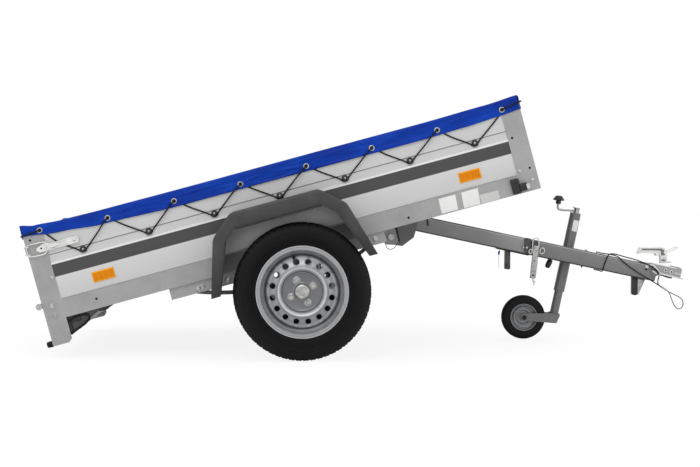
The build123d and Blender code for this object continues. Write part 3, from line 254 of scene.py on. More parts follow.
# %% Where a pattern lies, and its shades
def place_of(tree, scale=(1.0, 1.0, 1.0), turn=0.0):
    """Object coordinates, turned about the axle's direction so that they follow a slope."""
    where = node(tree, "TexCoord")
    turned_to = node(tree, "Mapping", [("Vector", where.outputs["Object"])],
                     vector_type="POINT")
    turned_to.inputs["Rotation"].default_value = (0.0, turn, 0.0)
    stretched = node(tree, "Mapping", [("Vector", turned_to.outputs[0])])
    stretched.inputs["Scale"].default_value = scale
    return stretched.outputs[0]


def ramp(tree, value, stops):
    """A straight colour ramp from (position, web colour or grey level) stops."""
    made = node(tree, "ValToRGB", [("Fac", value)])
    while len(made.color_ramp.elements) < len(stops):
        made.color_ramp.elements.new(0.5)
    for element, (position, shade) in zip(made.color_ramp.elements, stops):
        element.position = position
        element.color = colour(shade) if isinstance(shade, str) else (shade, shade, shade, 1.0)
    return made.outputs["Color"]


def tinted(tree, base, wash):
    """One colour times another, for wear and clouds that vary over the surface."""
    made = node(tree, "Mix", data_type="RGBA", blend_type="MULTIPLY")
    made.inputs[0].default_value = 1.0
    tree.links.new(base, made.inputs[6])
    tree.links.new(wash, made.inputs[7])
    return made.outputs[2]


def speckle(tree, where, scale, detail=4.0, roughness=0.5, distortion=0.0):
    """Noise in space, for clouds and grain: scale is in waves for each metre."""
    made = node(tree, "TexNoise", [("Vector", where), ("Scale", scale), ("Detail", detail),
                                   ("Roughness", roughness), ("Distortion", distortion)])
    return made.outputs["Fac"]


# %% Colour and relief on the shader
def paint(tree, shader, shade):
    """The shade as the surface's own colour."""
    tree.links.new(shade, shader.inputs["Base Color"])


def relief(tree, shader, height, strength, depth, under=None):
    """Bump from a height, over another bump if there is one."""
    links = [("Height", height), ("Strength", strength), ("Distance", depth)]
    if under is not None:
        links.append(("Normal", under))
    made = node(tree, "Bump", links)
    tree.links.new(made.outputs[0], shader.inputs["Normal"])
    return made.outputs[0]


# %% [markdown]
# ## The floor
# The trailer stands on a pale paper sheet, so that only a soft shadow shows where it stands.
# A plain white surface would turn grey under the lights. So for the camera alone most of it
# is a glow, and what is left of the real surface keeps the shadow.

# %% The paper floor
GLOW, GLOW_SHARE = 1.06, 0.82
floor_finish, tree, shader = finish("studio_paper", roughness=0.95, shade="#fafafa",
                                    Specular_IOR_Level=0.0)
relief(tree, shader, speckle(tree, place_of(tree), 900.0, detail=2.0), 0.05, 0.0005)
bright = node(tree, "Emission", [("Strength", GLOW)])
seen = node(tree, "LightPath")
share = maths(tree, "MULTIPLY", seen.outputs["Is Camera Ray"], GLOW_SHARE)
paper = node(tree, "MixShader", [(0, share), (1, shader.outputs[0]),
                                           (2, bright.outputs[0])])
tree.links.new(paper.outputs[0], tree.nodes["Material Output"].inputs["Surface"])
bm = bmesh.new()
bmesh.ops.create_grid(bm, x_segments=8, y_segments=8, size=30.0)
floor_mesh = bpy.data.meshes.new("studio_floor")
bm.to_mesh(floor_mesh)
bm.free()
floor_mesh.materials.append(floor_finish)
floor = placed("studio_floor", floor_mesh)
print("floor ready")

# %% [markdown]
# ## Sky and softboxes
# Metal shows what stands around it, so the studio is a bright even room: a soft sky, one
# large softbox above and in front, and a weaker one behind. A stronger sun would give hard
# shadows. The sky is white where the camera, a mirror or glass looks at it, and softer where
# it lights the trailer, so the background is white without more light on the metal.

# %% Sky and softboxes
sky = bpy.data.worlds.new("studio_sky")
bpy.context.scene.world = sky
sky.use_nodes = True
tree = sky.node_tree
lit = tree.nodes["Background"]
lit.inputs["Strength"].default_value = 0.78
shown = node(tree, "Background", [("Color", (1.0, 1.0, 1.0, 1.0)), ("Strength", 1.0)])
lit.inputs["Color"].default_value = (1.0, 1.0, 1.0, 1.0)
seen = node(tree, "LightPath")
looks = maths(tree, "MAXIMUM", seen.outputs["Is Camera Ray"], seen.outputs["Is Glossy Ray"])
looks = maths(tree, "MAXIMUM", looks, seen.outputs["Is Transmission Ray"])
mixed = node(tree, "MixShader", [(0, looks), (1, lit.outputs[0]),
                                           (2, shown.outputs[0])])
tree.links.new(mixed.outputs[0], tree.nodes["World Output"].inputs["Surface"])


def softbox(name, place, size, watts):
    """A rectangular light that looks at the middle of the trailer."""
    lamp = bpy.data.lights.new(name, "AREA")
    lamp.shape = "RECTANGLE"
    lamp.size, lamp.size_y = size
    lamp.energy = watts
    holder = placed(name, lamp)
    holder.location = place
    aim = Vector((0.0, 0.0, 0.5)) - Vector(place)
    holder.rotation_euler = aim.to_track_quat("-Z", "Y").to_euler()


softbox("front_softbox", (-1.2, -4.2, 4.2), (4.0, 2.5), 60.0)
softbox("rear_softbox", (1.8, 4.0, 3.6), (3.0, 2.0), 30.0)
bpy.context.scene.view_settings.view_transform = "Standard"
print("studio ready")

# %% [markdown]
# ## Metals
# Hot-dip galvanised steel has a faint flower of zinc crystals and a cloudy grey. Crystals
# are cells, so a Voronoi pattern gives their size and a noise gives the clouds. The box
# boards are rolled aluminium: brighter, with a fine grain along the board. An image would be
# quicker, but it would slide or repeat, and a pattern in space doesn't.

# %% Galvanised steel
def galvanised(name, dark, light, turn, crystal=260.0, roughness=0.45):
    """Zinc crystals as fine cells, under slow clouds, turned to follow the slope."""
    made, tree, shader = finish(name, roughness=roughness, metallic=0.3)
    where = place_of(tree, turn=turn)
    crystals = node(tree, "TexVoronoi", [("Vector", where), ("Scale", crystal)])
    clouds = speckle(tree, where, 9.0, detail=6.0, roughness=0.6)
    flower = maths(tree, "MULTIPLY", crystals.outputs["Distance"], 0.22)
    both = maths(tree, "MULTIPLY_ADD", clouds, 0.8, flower)
    paint(tree, shader, ramp(tree, both, [(0.25, dark), (0.75, light)]))
    shine = node(tree, "MapRange", [("Value", clouds), ("From Min", 0.3), ("From Max", 0.7),
                                    ("To Min", roughness - 0.07),
                                    ("To Max", roughness + 0.07)])
    tree.links.new(shine.outputs[0], shader.inputs["Roughness"])
    relief(tree, shader, both, 0.10, 0.0004)
    return made


steel = galvanised("galvanised_sheet", "#989898", "#b0b0b0", TIP)
bar_steel = galvanised("drawbar_galvanised", "#6c6c6d", "#828283", -SLOPE)
spring_steel = galvanised("spring_steel", "#3e3e3f", "#58585a", TIP, crystal=380.0)
print("zinc:", ", ".join(made.name for made in (steel, bar_steel, spring_steel)))

# %% [markdown]
# ### The drawbar tube
# The drawbar is a rolled square tube whose corner catches a bright line between the dark
# underside and the top. A bare mirror finish would need the whole yard around it. So that
# highlight and the shade are painted into the colour by the height in the tube's own
# section, and the colour fades a little along its length.

# %% Drawbar tube: painted highlight and shade for each rolled corner
def along_scale(tree, value, low, high):
    """A coordinate as a share of the way from low to high, in metres, held at the ends."""
    return node(tree, "MapRange", [("Value", value), ("From Min", low),
                                   ("From Max", high)]).outputs[0]


tube_steel_painted_light, tree, shader = finish("drawbar_tube_painted_light", roughness=0.45, metallic=0.3)
in_bar = node(tree, "SeparateXYZ", [("Vector", place_of(tree, turn=-SLOPE))])
pin = Matrix.Rotation(-SLOPE, 4, "Y") @ PIVOT
TUBE_LOW, TUBE_HIGH, TUBE_RUN = 47, 117, 1.15
tube_painted_light_lines = (
    # height in the tube's own section, and painted shade and highlight: underside, flat side,
    # corner and top
    (47, "#363637"), (51, "#454546"), (54, "#9c9c9d"), (108.8, "#a9a9aa"), (109.8, "#dcdcda"),
    (112.2, "#dcdcda"), (113.4, "#656566"), (116.4, "#6c6c6d"), (116.9, "#c2c2c1"),
    (117, "#c8c8c7"),
)
up_the_side = along_scale(tree, in_bar.outputs["Z"], pin.z + TUBE_LOW / 1000,
                          pin.z + TUBE_HIGH / 1000)
# the corners ramp is painted light: a highlight along each rolled corner and shade underneath
corners = ramp(tree, up_the_side, [((w - TUBE_LOW) / (TUBE_HIGH - TUBE_LOW), code)
                                   for w, code in tube_painted_light_lines])
forward = along_scale(tree, in_bar.outputs["X"], pin.x, pin.x + TUBE_RUN)
lengthwise = ramp(tree, forward, [(0.15, 0.9), (0.23, 0.91), (0.34, 0.85), (0.47, 1.0),
                                  (0.52, 0.95), (0.56, 0.62)])
clouded = ramp(tree, speckle(tree, place_of(tree, turn=-SLOPE), 9.0, detail=6.0),
               [(0.3, 0.92), (0.7, 1.0)])
paint(tree, shader, tinted(tree, tinted(tree, corners, lengthwise), clouded))
relief(tree, shader, speckle(tree, place_of(tree), 260.0), 0.10, 0.0004)
print(len(tube_painted_light_lines), "shades up", TUBE_HIGH - TUBE_LOW, "mm of tube")

# %% [markdown]
# ### Bright zinc
# Bolts, rivets and the pressed handles are plated, so they are smoother and brighter than
# the hot-dipped sheet. The same crystals would look too coarse on them, so they take only
# clouds and a fine grain.

# %% Bright zinc for fasteners and handles
zinc, tree, shader = finish("bright_zinc", roughness=0.3, metallic=0.85)
clouds = speckle(tree, place_of(tree), 60.0, detail=5.0)
paint(tree, shader, ramp(tree, clouds, [(0.3, "#969694"), (0.7, "#c8c8c6")]))
relief(tree, shader, speckle(tree, place_of(tree), 420.0), 0.08, 0.0004)
print(zinc.name, "has", len(tree.nodes), "nodes")

# %% [markdown]
# ### The side boards
# One rolled board makes each side: a plain lower field, a dark painted band, a round bead, a
# fine seam and a plain upper field. The bead and the seam are real shapes in the solid. The
# band is paint on the outward faces, so there it is a step in the colour by the height above
# the axle, and the faces towards the load are bare. The bright lines on the bead and above the
# hem are painted highlights in the same steps. A thin sheet laid on the board would show its
# edge. The board's own lettering is left off.

# %% The shades and painted highlights across a board
board, tree, shader = finish("side_board", roughness=0.4, metallic=0.25)
in_box = node(tree, "SeparateXYZ", [("Vector", place_of(tree, turn=TIP))])
axle_in_box = Matrix.Rotation(TIP, 4, "Y") @ AXLE
BOARD_LOW, BOARD_HIGH = 205, 515
level = along_scale(tree, in_box.outputs["Z"], axle_in_box.z + BOARD_LOW / 1000,
                    axle_in_box.z + BOARD_HIGH / 1000)
board_lines_and_highlights = (
    # height above the axle in the box's own frame, and shade: hem, band, roll and seam
    # the white lines at 212 to 215 and at 356 to 362 are painted highlights on the hem and the
    # bead
    (205, "#858585"), (211.5, "#8c8c8c"), (212, "#f2f2f2"), (215, "#f2f2f2"), (216, "#a8a8a8"),
    (217.5, "#b0b0b0"), (218.5, "#cfcfcf"), (305, "#dadada"), (306, "#484848"),
    (355, "#4a4a4a"), (356.3, "#f4f4f4"), (362, "#eeeeee"), (366, "#d4d4d4"),
    (394.8, "#cfcfcf"), (395.6, "#757575"), (397.6, "#7c7c7c"), (398.4, "#e4e4e4"),
    (402, "#d4d4d4"), (515, "#cdcdcd"),
)
bands = ramp(tree, level, [((w - BOARD_LOW) / (BOARD_HIGH - BOARD_LOW), code)
                           for w, code in board_lines_and_highlights])
bare = ramp(tree, level, [(0.0, "#b4b4b4"), (1.0, "#c4c4c4")])
print(len(board_lines_and_highlights), "lines across a board")

# %% Paint on the outward faces
def mid_thickness(name, axis):
    """The middle of a board's thickness along one axis of the box's own frame, in metres."""
    spots = [(BOX.inverted() @ v.co)[axis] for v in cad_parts[name].data.vertices]
    return (min(spots) + max(spots)) / 2000


outward = maths(tree, "GREATER_THAN", maths(tree, "ABSOLUTE", in_box.outputs["Y"]),
                abs(mid_thickness("side_wall_right", 1)))
for name, test in (("front_wall", "GREATER_THAN"), ("tailgate", "LESS_THAN")):
    end = maths(tree, test, in_box.outputs["X"], axle_in_box.x + mid_thickness(name, 0))
    outward = maths(tree, "MAXIMUM", outward, end)
painted = node(tree, "Mix", [(0, outward)], data_type="RGBA")
tree.links.new(bare, painted.inputs[6])
tree.links.new(bands, painted.inputs[7])
streaks = speckle(tree, place_of(tree, scale=(2.0, 40.0, 900.0), turn=TIP), 1.0, detail=3.0)
worn = ramp(tree, streaks, [(0.3, 0.93), (0.7, 1.0)])
paint(tree, shader, tinted(tree, painted.outputs[2], worn))
relief(tree, shader, streaks, 0.05, 0.0003)
print("paint from", round(mid_thickness("side_wall_right", 1), 4), "m outwards")

# %% [markdown]
# ## Plastics, rubber, lenses and paper
# Moulded mudguards are dull with a fine leather grain. Tyre rubber is nearly black, with a
# little dust. A lens is a clear coloured plastic over a bright back. Labels are blank paper
# under a clear film. All of them are one shader each, with grain from noise in space, because
# none of them shows a seam or a print.

# %% Plastic, rubber and lenses
def moulded(name, dark, light, grain, roughness, depth=0.0004, strength=0.25, metallic=0.0,
            **sockets):
    """A material with two close shades and a fine grain."""
    made, tree, shader = finish(name, roughness=roughness, metallic=metallic, **sockets)
    where = place_of(tree)
    clouds = speckle(tree, where, 14.0, detail=5.0, roughness=0.6)
    paint(tree, shader, ramp(tree, clouds, [(0.3, dark), (0.7, light)]))
    relief(tree, shader, speckle(tree, where, grain, detail=3.0), strength, depth)
    return made


guard_plastic = moulded("guard_plastic", "#39393a", "#454546", 900.0, 0.5, depth=0.0005,
                        Specular_IOR_Level=0.4)
black_plastic = moulded("black_plastic", "#161617", "#232324", 1200.0, 0.42)
tyre_rubber = moulded("tyre_rubber", "#060607", "#111112", 500.0, 0.66, strength=0.2,
                      Specular_IOR_Level=0.28)
cord_rubber = moulded("cord_cover", "#060607", "#101011", 1500.0, 0.55,
                      Specular_IOR_Level=0.25)
wheel_paint = moulded("wheel_paint", "#8d8e90", "#a2a3a5", 1600.0, 0.34, metallic=0.55,
                      strength=0.06)
amber_deep = moulded("amber_deep", "#d97a00", "#e88a00", 700.0, 0.3, strength=0.05,
                     Specular_IOR_Level=0.2)
amber_lens = moulded("amber_lens", "#ff9c00", "#ffb400", 700.0, 0.24, strength=0.05,
                     Specular_IOR_Level=0.25, Coat_Weight=0.1, Coat_Roughness=0.08)
red_lens = moulded("red_lens", "#8f0b0b", "#b01010", 700.0, 0.16, strength=0.05,
                   Coat_Weight=0.6, Coat_Roughness=0.05)
clear_lens = moulded("clear_lens", "#d9dcde", "#f2f4f5", 700.0, 0.08, strength=0.05,
                     Coat_Weight=0.8, Coat_Roughness=0.03)
strap_steel = moulded("strap_steel", "#3c3c3d", "#59595a", 500.0, 0.42, metallic=0.4)
# a lighter copy of the zinc for flanges, rims, handles and wires: painted highlight
zinc_highlight = moulded("zinc_painted_highlight", "#cfcfcd", "#f3f3f1", 700.0, 0.26, strength=0.08,
                   metallic=0.45)
label_paper = moulded("blank_label", "#e9e9e7", "#f4f4f2", 800.0, 0.35, strength=0.04,
                      Coat_Weight=0.3)
plate_paper = moulded("blank_plate", "#c6c6c4", "#d2d2d0", 800.0, 0.35, strength=0.04)
# dark discs and rings in holes, pits and gaps: painted shadow
painted_hole_shade = moulded("hole_shadow", "#08080a", "#0d0d0f", 500.0, 0.8)
wire_blue = moulded("blue_clip", "#1440a8", "#1c50c0", 900.0, 0.4)
print(len(bpy.data.materials), "finishes so far")

# %% [markdown]
# ### Road wheels and tyres
# A rim's colour carries painted shade and painted highlights in rings, and a tyre's wall is
# a little lighter towards its shoulder; both take a little dust, and the tyre's wall has a fine
# comb of radial ribs. A single shade would leave the wheel flat, and cutting each rib would cost
# a million faces. So the colour follows the distance from the axle and the ribs are relief.

# %% Finishes that follow the distance from the axle
REACH = 280.0      # millimetres from the axle, at the end of the ramps
RIBS = 220.0


def ringed(name, stops, roughness, metallic=0.0, ribs=0.0, **sockets):
    """Shades that follow the distance from the axle, for the road wheels and their tyres."""
    made, tree, shader = finish(name, roughness=roughness, metallic=metallic, **sockets)
    where = node(tree, "Mapping", [("Vector", node(tree, "TexCoord").outputs["Object"])])
    where.inputs["Location"].default_value = (-AXLE.x, 0.0, -AXLE.z)
    flat = node(tree, "VectorMath", [(0, where.outputs[0]), (1, (1.0, 0.0, 1.0))],
                operation="MULTIPLY")
    radius = node(tree, "VectorMath", [(0, flat.outputs[0])], operation="LENGTH")
    spread = maths(tree, "MULTIPLY", radius.outputs["Value"], 1000 / REACH)
    shade = ramp(tree, spread, [(r / REACH, code) for r, code in stops])
    dust = ramp(tree, speckle(tree, place_of(tree), 30.0, detail=5.0), [(0.3, 0.9), (0.7, 1.0)])
    paint(tree, shader, tinted(tree, shade, dust))
    grain = relief(tree, shader, speckle(tree, place_of(tree), 900.0, detail=3.0), 0.1, 0.0003)
    if ribs:
        apart = node(tree, "SeparateXYZ", [("Vector", flat.outputs[0])])
        turn = maths(tree, "ARCTAN2", apart.outputs["Z"], apart.outputs["X"])
        wave = maths(tree, "SINE", maths(tree, "MULTIPLY", turn, RIBS))
        band = ramp(tree, spread, [(r / REACH, share) for r, share in
                                   ((206, 0.0), (210, 1.0), (232, 1.0), (236, 0.0))])
        relief(tree, shader, maths(tree, "MULTIPLY", wave, band), ribs, 0.0012, under=grain)
    return made


road_rubber = ringed("road_rubber", [(182, "#0d0d0e"), (200, "#060607"), (212, "#0b0b0c"),
                                     (236, "#151516"), (262, "#1f1f20"), (271, "#161617")],
                     0.68, ribs=0.5, Specular_IOR_Level=0.16)
rim_metal_painted_light = ringed("rim_metal_painted_light", [
    # by the distance from the axle in mm, painted shade and highlights: hub dish, its raised
    # ring, the vents, then the bead
    (70, "#7a7b7d"), (77, "#636466"), (83, "#a6a7a9"), (90, "#cccdcf"), (96, "#e0e1e3"),
    (103, "#98999b"), (110, "#b0b1b3"), (133, "#b6b7b9"), (139, "#868789"), (146, "#3c3d3f"),
    (152, "#606163"), (160, "#a2a3a5"), (172, "#a6a7a9"), (177, "#949597"), (182, "#d2d3d5"),
], 0.32, metallic=0.45)
print(road_rubber.name, "and", rim_metal_painted_light.name, "reach", REACH, "mm from the axle")

# %% [markdown]
# ### The floor board
# The box has a floor of brown film-faced plywood, with a grain that runs along it. A picture
# of wood would repeat. So a noise is stretched along the box.

# %% Floor board
floor_board, tree, shader = finish("floor_board", roughness=0.45)
fibres = speckle(tree, place_of(tree, scale=(6.0, 90.0, 90.0), turn=TIP), 1.0, detail=8.0,
                 roughness=0.65, distortion=0.8)
paint(tree, shader, ramp(tree, fibres, [(0.3, "#33241a"), (0.55, "#4a3425"),
                                       (0.75, "#5c4330")]))
relief(tree, shader, fibres, 0.15, 0.0006)
print(len(bpy.data.materials), "finishes so far")

# %% [markdown]
# ## The safety cable
# A trailer like this carries a thin steel safety cable in a black sleeve. It goes once
# round the drawbar tube, its two strands run forward to a ferrule, and a bare loop hangs in
# front to go over the tow bar. It could be a swept tube with straight legs, but a cable has
# no straight leg and no corner. So it is a NURBS curve whose control points are the places
# that the cable has to pass.

# %% A cord through the places that hold it
def cord_curve(name, routes, radius, body, covering):
    """Smooth cords, each held by its control points in its body's own frame."""
    data = bpy.data.curves.new(name, "CURVE")
    data.dimensions = "3D"
    for points in routes:
        spline = data.splines.new("NURBS")
        spline.points.add(len(points) - 1)
        for spot, point in zip(spline.points, points):
            spot.co = (*(HOME[body] @ Vector(point)), 1)
        spline.order_u = 3
        spline.use_endpoint_u = True
    data.resolution_u = 10
    data.bevel_depth = radius
    data.bevel_resolution = 3
    data.use_fill_caps = True
    data.materials.append(covering)
    made = placed(name, data)
    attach(made, body)
    return made

# %% The cable's route and its loop
cable_points = (
    (1214, -48.8, 30), (1176, -48.8, 44.25), (1122, -46, 62), (1074, -42, 80), (1026, -41, 102),
    (1000, -40, 122.5), (966, -18, 124), (940, 6, 120.6), (924, 18, 120.6), (916, 40.5, 123),
    (918, 38.4, 96), (920, 38.4, 68), (922, 40.5, 41), (928, 14, 43.6), (938, -12, 43.6),
    (944, -40.5, 41), (946, -38.4, 68), (950, -38.4, 96), (953, -41.5, 122), (978, -38, 131),
    (1030, -25, 126), (1076, -31, 124.5), (1120, -41, 118), (1164, -43.2, 105.5),
    (1186, -43.2, 93.5), (1195, -43.2, 76), (1192, -43.2, 54), (1198, -43.2, 36),
    (1214, -43.2, 30),
)
loop_points = (
    (1238, -43.2, 21), (1262, -43.2, 12), (1297, -44, 5), (1317, -44, -4), (1326, -45, -23),
    (1323, -46, -41), (1310, -47, -50), (1295, -48, -46), (1280, -48.8, -30), (1262, -48.8, -2),
    (1250, -48.8, 16.5), (1238, -48.8, 21),
)
cable_steel = moulded("cable_steel", "#77787a", "#97989a", 1400, 0.35, metallic=0.7,
                      strength=0.4)
cable = cord_curve("sleeved_cable", [cable_points], 0.0025, "drawbar", cord_rubber)
loop = cord_curve("bare_cable_loop", [loop_points], 0.0025, "drawbar", cable_steel)
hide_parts("safety_cable")
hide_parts("cable_loop")
print("cable", len(cable_points), "points; loop", len(loop_points), "points")

# %% [markdown]
# ## The tarpaulin
# The cover is one coated cloth, cut to the box plus a skirt all round, with a welded corner in
# front. It lies over the wall tops, sags a little between them, and its eyelets are pulled
# down by an elastic cord. It could be simulated, but a taut cover barely moves, and its marks
# are known: a rounded edge, pulled creases at each eyelet, a hem and fine ripples along it.
# So a flat grid, cut to the real size, is folded over the box by its own distances. Each
# point keeps its place in the flat cloth as its UV, and the weave follows that.

# %% The box's edges and the cover's cut
REAR, FRONT, HALF, RIM = -1015, 1035, 575, 512
EYELETS = [961 - 272 * n for n in range(8)]
KNOBS = [822 - 269.8 * n for n in range(7)]
EDGE, SKIRT_CUT, CLEAR = 6, 62, 3.2
EDGE_RUN = EDGE * math.pi / 2
COVER_HALF, COVER_FRONT = HALF + CLEAR, FRONT + CLEAR
TOP_RUN, FRONT_RUN = COVER_HALF - EDGE, COVER_FRONT - EDGE
SAG, SAG_RUN, LOWEST = 15, 260, 470
PUCKER, PUCKER_SPREAD = 3, 420             # how deep and how wide an eyelet pulls the cloth
CREASES = ((0.2, 120, 2.6), (-0.14, 110, 2.2), (0.55, 60, 1.6))     # slope, reach, height
CREASE_START, CREASE_WIDTH = 18, 6.5
WELT, WELT_AT, WELT_WIDTH = 1.6, 0.93, 0.09     # the hem's raised edge
# (along, height) of the cover's edge, of its hem and of its eyelets
cover_top = ((-1016, 538), (-960, 526), (-851, 519), (-688, 516.5), (-362, 515.5), (300, 517),
             (627, 517), (900, 521), (1042, 528))
cover_hem = ((-1016, 492), (-863, 474), (-704, 460), (-379, 450), (-51, 451), (610, 451),
             (800, 456), (945, 463), (1042, 470))
eyelet_height = ((-943, 501), (-671, 478), (-399, 474), (-127, 470), (145, 471), (417, 473),
                 (689, 474), (961, 485))
print(len(EYELETS), "eyelets and", len(KNOBS), "knobs along a side")

# %% Values from short tables
def between(stops, at):
    """A smooth value from a short table of (place, value), held at both ends."""
    if at <= stops[0][0]:
        return stops[0][1]
    for (low, first), (high, last) in zip(stops, stops[1:]):
        if at <= high:
            share = (at - low) / (high - low)
            share = share * share * (3 - 2 * share)
            return first + (last - first) * share
    return stops[-1][1]


def straight(stops, at):
    """A value from a short table of (place, value), straight between its rows."""
    for (low, first), (high, last) in zip(stops, stops[1:]):
        if at <= high:
            break
    return first + (last - first) * (at - low) / (high - low)


# %% Creases, and the fold over the box
def pull(u, w, side_part):
    """How far the cloth stands out where it is creased: folds from each eyelet, and ripples."""
    out = 0.0
    for at in EYELETS:
        height = between(eyelet_height, at)
        du, dw = u - at, w - height
        out -= PUCKER * math.exp(-(du * du + dw * dw) / PUCKER_SPREAD)
        for slope, reach, lift in CREASES:
            fade = math.exp(-(du / reach) ** 2) * (1 - math.exp(-(du / CREASE_START) ** 2))
            out += lift * fade * math.exp(-((dw - slope * du) / CREASE_WIDTH) ** 2)
    ripple = noise.noise(Vector((u * 0.006, w * 0.09, 3.1)))
    fine = noise.noise(Vector((u * 0.022, w * 0.16, 8.7)))
    return (out + 2 * ripple + 0.8 * fine) * side_part


def over_edge(run, start, top, hem):
    """Round the edge and down the skirt: outward place, height, and whether it hangs."""
    if run < EDGE_RUN:
        turn = run / EDGE
        return start + EDGE * math.sin(turn), top - EDGE + EDGE * math.cos(turn), False
    down = (run - EDGE_RUN) / (SKIRT_CUT - EDGE_RUN + EDGE)
    welt = WELT * max(0, 1 - abs(down - WELT_AT) / WELT_WIDTH)
    return start + EDGE + welt, top - EDGE + (hem - (top - EDGE)) * down, True


def fold(across, along):
    """Carry a point of the flat cloth, in millimetres, onto the box."""
    side = 1 if across > 0 else -1
    over_side, over_front = abs(across) - TOP_RUN, along - FRONT_RUN
    if over_side > 0 and over_front > 0:
        over_side, over_front = ((over_side, 0) if over_side > over_front
                                 else (0, over_front))
    u = along if over_front <= 0 else FRONT_RUN
    top, hem = between(cover_top, u), between(cover_hem, u)
    if over_side > 0:
        y, w, hangs = over_edge(over_side, TOP_RUN, top, hem)
        share = 1 if hangs else 0.15
        y += max(-1.5, pull(u, w, share)) + 1.2 * share
        return Vector((u, side * y, w))
    if over_front > 0:
        u, w, hangs = over_edge(over_front, FRONT_RUN, top, hem)
        if hangs:
            u += 1.5 * noise.noise(Vector((across * 0.02, w * 0.12, 5))) + 1
        return Vector((u, across, w))
    inside = 1.0 - (abs(across) / TOP_RUN) ** 2
    ends = min(1, (COVER_FRONT - along) / SAG_RUN, (along - REAR) / SAG_RUN + 0.25)
    sag = SAG * inside * max(0, ends)
    flat_top = RIM + CLEAR
    w = flat_top + (top - flat_top) * (abs(across) / TOP_RUN) ** 8 - sag
    w += 2.2 * noise.noise(Vector((along * 0.004, across * 0.011, 1.7))) * min(1, inside * 6)
    w += 1.1 * noise.noise(Vector((along * 0.016, across * 0.05, 6.2))) * min(1, inside * 8)
    return Vector((along, across, max(w, LOWEST)))


# %% The flat cloth, cut and folded
FLAT_HALF, FLAT_FRONT = TOP_RUN + SKIRT_CUT + EDGE, FRONT_RUN + SKIRT_CUT + EDGE
ALONG_STEPS, ACROSS_STEPS = 250, 110
across_cut = ((0, 0), (0.58, TOP_RUN), (0.66, TOP_RUN + EDGE_RUN), (1, FLAT_HALF))
along_cut = ((0, REAR), (0.93, FRONT_RUN), (0.95, FRONT_RUN + EDGE_RUN), (1, FLAT_FRONT))
bm = bmesh.new()
bmesh.ops.create_grid(bm, x_segments=ALONG_STEPS, y_segments=ACROSS_STEPS, size=1.0)
weave = bm.loops.layers.uv.new("cloth")
flat = {v: (math.copysign(straight(across_cut, abs(v.co.y)), v.co.y),
            straight(along_cut, (v.co.x + 1) / 2)) for v in bm.verts}
for f in bm.faces:
    for corner in f.loops:
        corner[weave].uv = [run * 0.001 for run in flat[corner.vert]]
front_corners = [f for f in bm.faces
                 if sum(abs(flat[v][0]) for v in f.verts) / 4 > TOP_RUN
                 and sum(flat[v][1] for v in f.verts) / 4 > FRONT_RUN]
bmesh.ops.delete(bm, geom=front_corners, context="FACES")
for v in bm.verts:
    v.co = fold(*flat[v])
corner_edge = [v for v in bm.verts if v.is_boundary and v.co.x > FRONT_RUN - 1
               and abs(v.co.y) > TOP_RUN - 2]
bmesh.ops.remove_doubles(bm, verts=corner_edge, dist=5.0)
bmesh.ops.recalc_face_normals(bm, faces=bm.faces)
print("cover faces", len(bm.faces), "area",
      round(sum(f.calc_area() for f in bm.faces) * 1e-6, 3))

# %% [markdown]
# ### The cloth's finish
# Coated polyester is a plain weave under a clear, slightly waxy coat, so it has a soft
# highlight along every fold and a lighter tone at grazing angles. The weave runs with the
# cloth, so it reads the UV map, at about one thread each millimetre.

# %% Coated cloth
def thicken(piece, name, thickness, offset=-1.0):
    """Give a sheet its thickness, in metres."""
    wall = piece.modifiers.new(name, "SOLIDIFY")
    wall.thickness = thickness
    wall.offset = offset


CLOTH, THREADS = 0.0012, 160.0
cloth_blue, tree, shader = finish("coated_cloth", roughness=0.46, Specular_IOR_Level=0.14)
flat_uv = node(tree, "UVMap", uv_map="cloth").outputs[0]
threads = []
for direction in ("X", "Y"):
    wave = node(tree, "TexWave", [("Vector", flat_uv), ("Scale", THREADS),
                                  ("Distortion", 0.4)], bands_direction=direction)
    threads.append(wave.outputs["Fac"])
weave = maths(tree, "MULTIPLY", *threads)
age = speckle(tree, place_of(tree, scale=(1.0, 2.0, 2.0), turn=TIP), 5.0, detail=6.0,
              roughness=0.6)
blue = ramp(tree, age, [(0.3, "#002e96"), (0.55, "#003cae"), (0.75, "#064ac2")])
paint(tree, shader, tinted(tree, blue, ramp(tree, weave, [(0, 0.9), (1, 1)])))
crease = speckle(tree, place_of(tree, scale=(9.0, 60.0, 60.0), turn=TIP), 1.0, detail=5.0,
                 roughness=0.55)
soft = relief(tree, shader, crease, 0.6, 0.003)
relief(tree, shader, weave, 0.10, 0.0003, under=soft)
print(cloth_blue.name, "has", len(tree.nodes), "nodes")

# %% The cover
cover = part("cover_cloth", bm, "chassis", cloth_blue, smooth=60.0)
thicken(cover, "cloth_thickness", CLOTH)
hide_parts("tarp")
print("cover on", round(2 * FLAT_HALF), "x", round(FLAT_FRONT - REAR), "mm of cloth")

# %% [markdown]
# ### The rear flap, the eyelets and the knobs
# At the rear the cover ends in a loose flap, so that the tailgate can open with the cover on.
# It is its own cloth, and it rides on the tailgate. Eyelets are rolled rings of plated
# brass, and the cord hooks under black buttons that are screwed to the boards. Rings and
# buttons are turned shapes, so one profile each is spun, for as many as the real cover has.

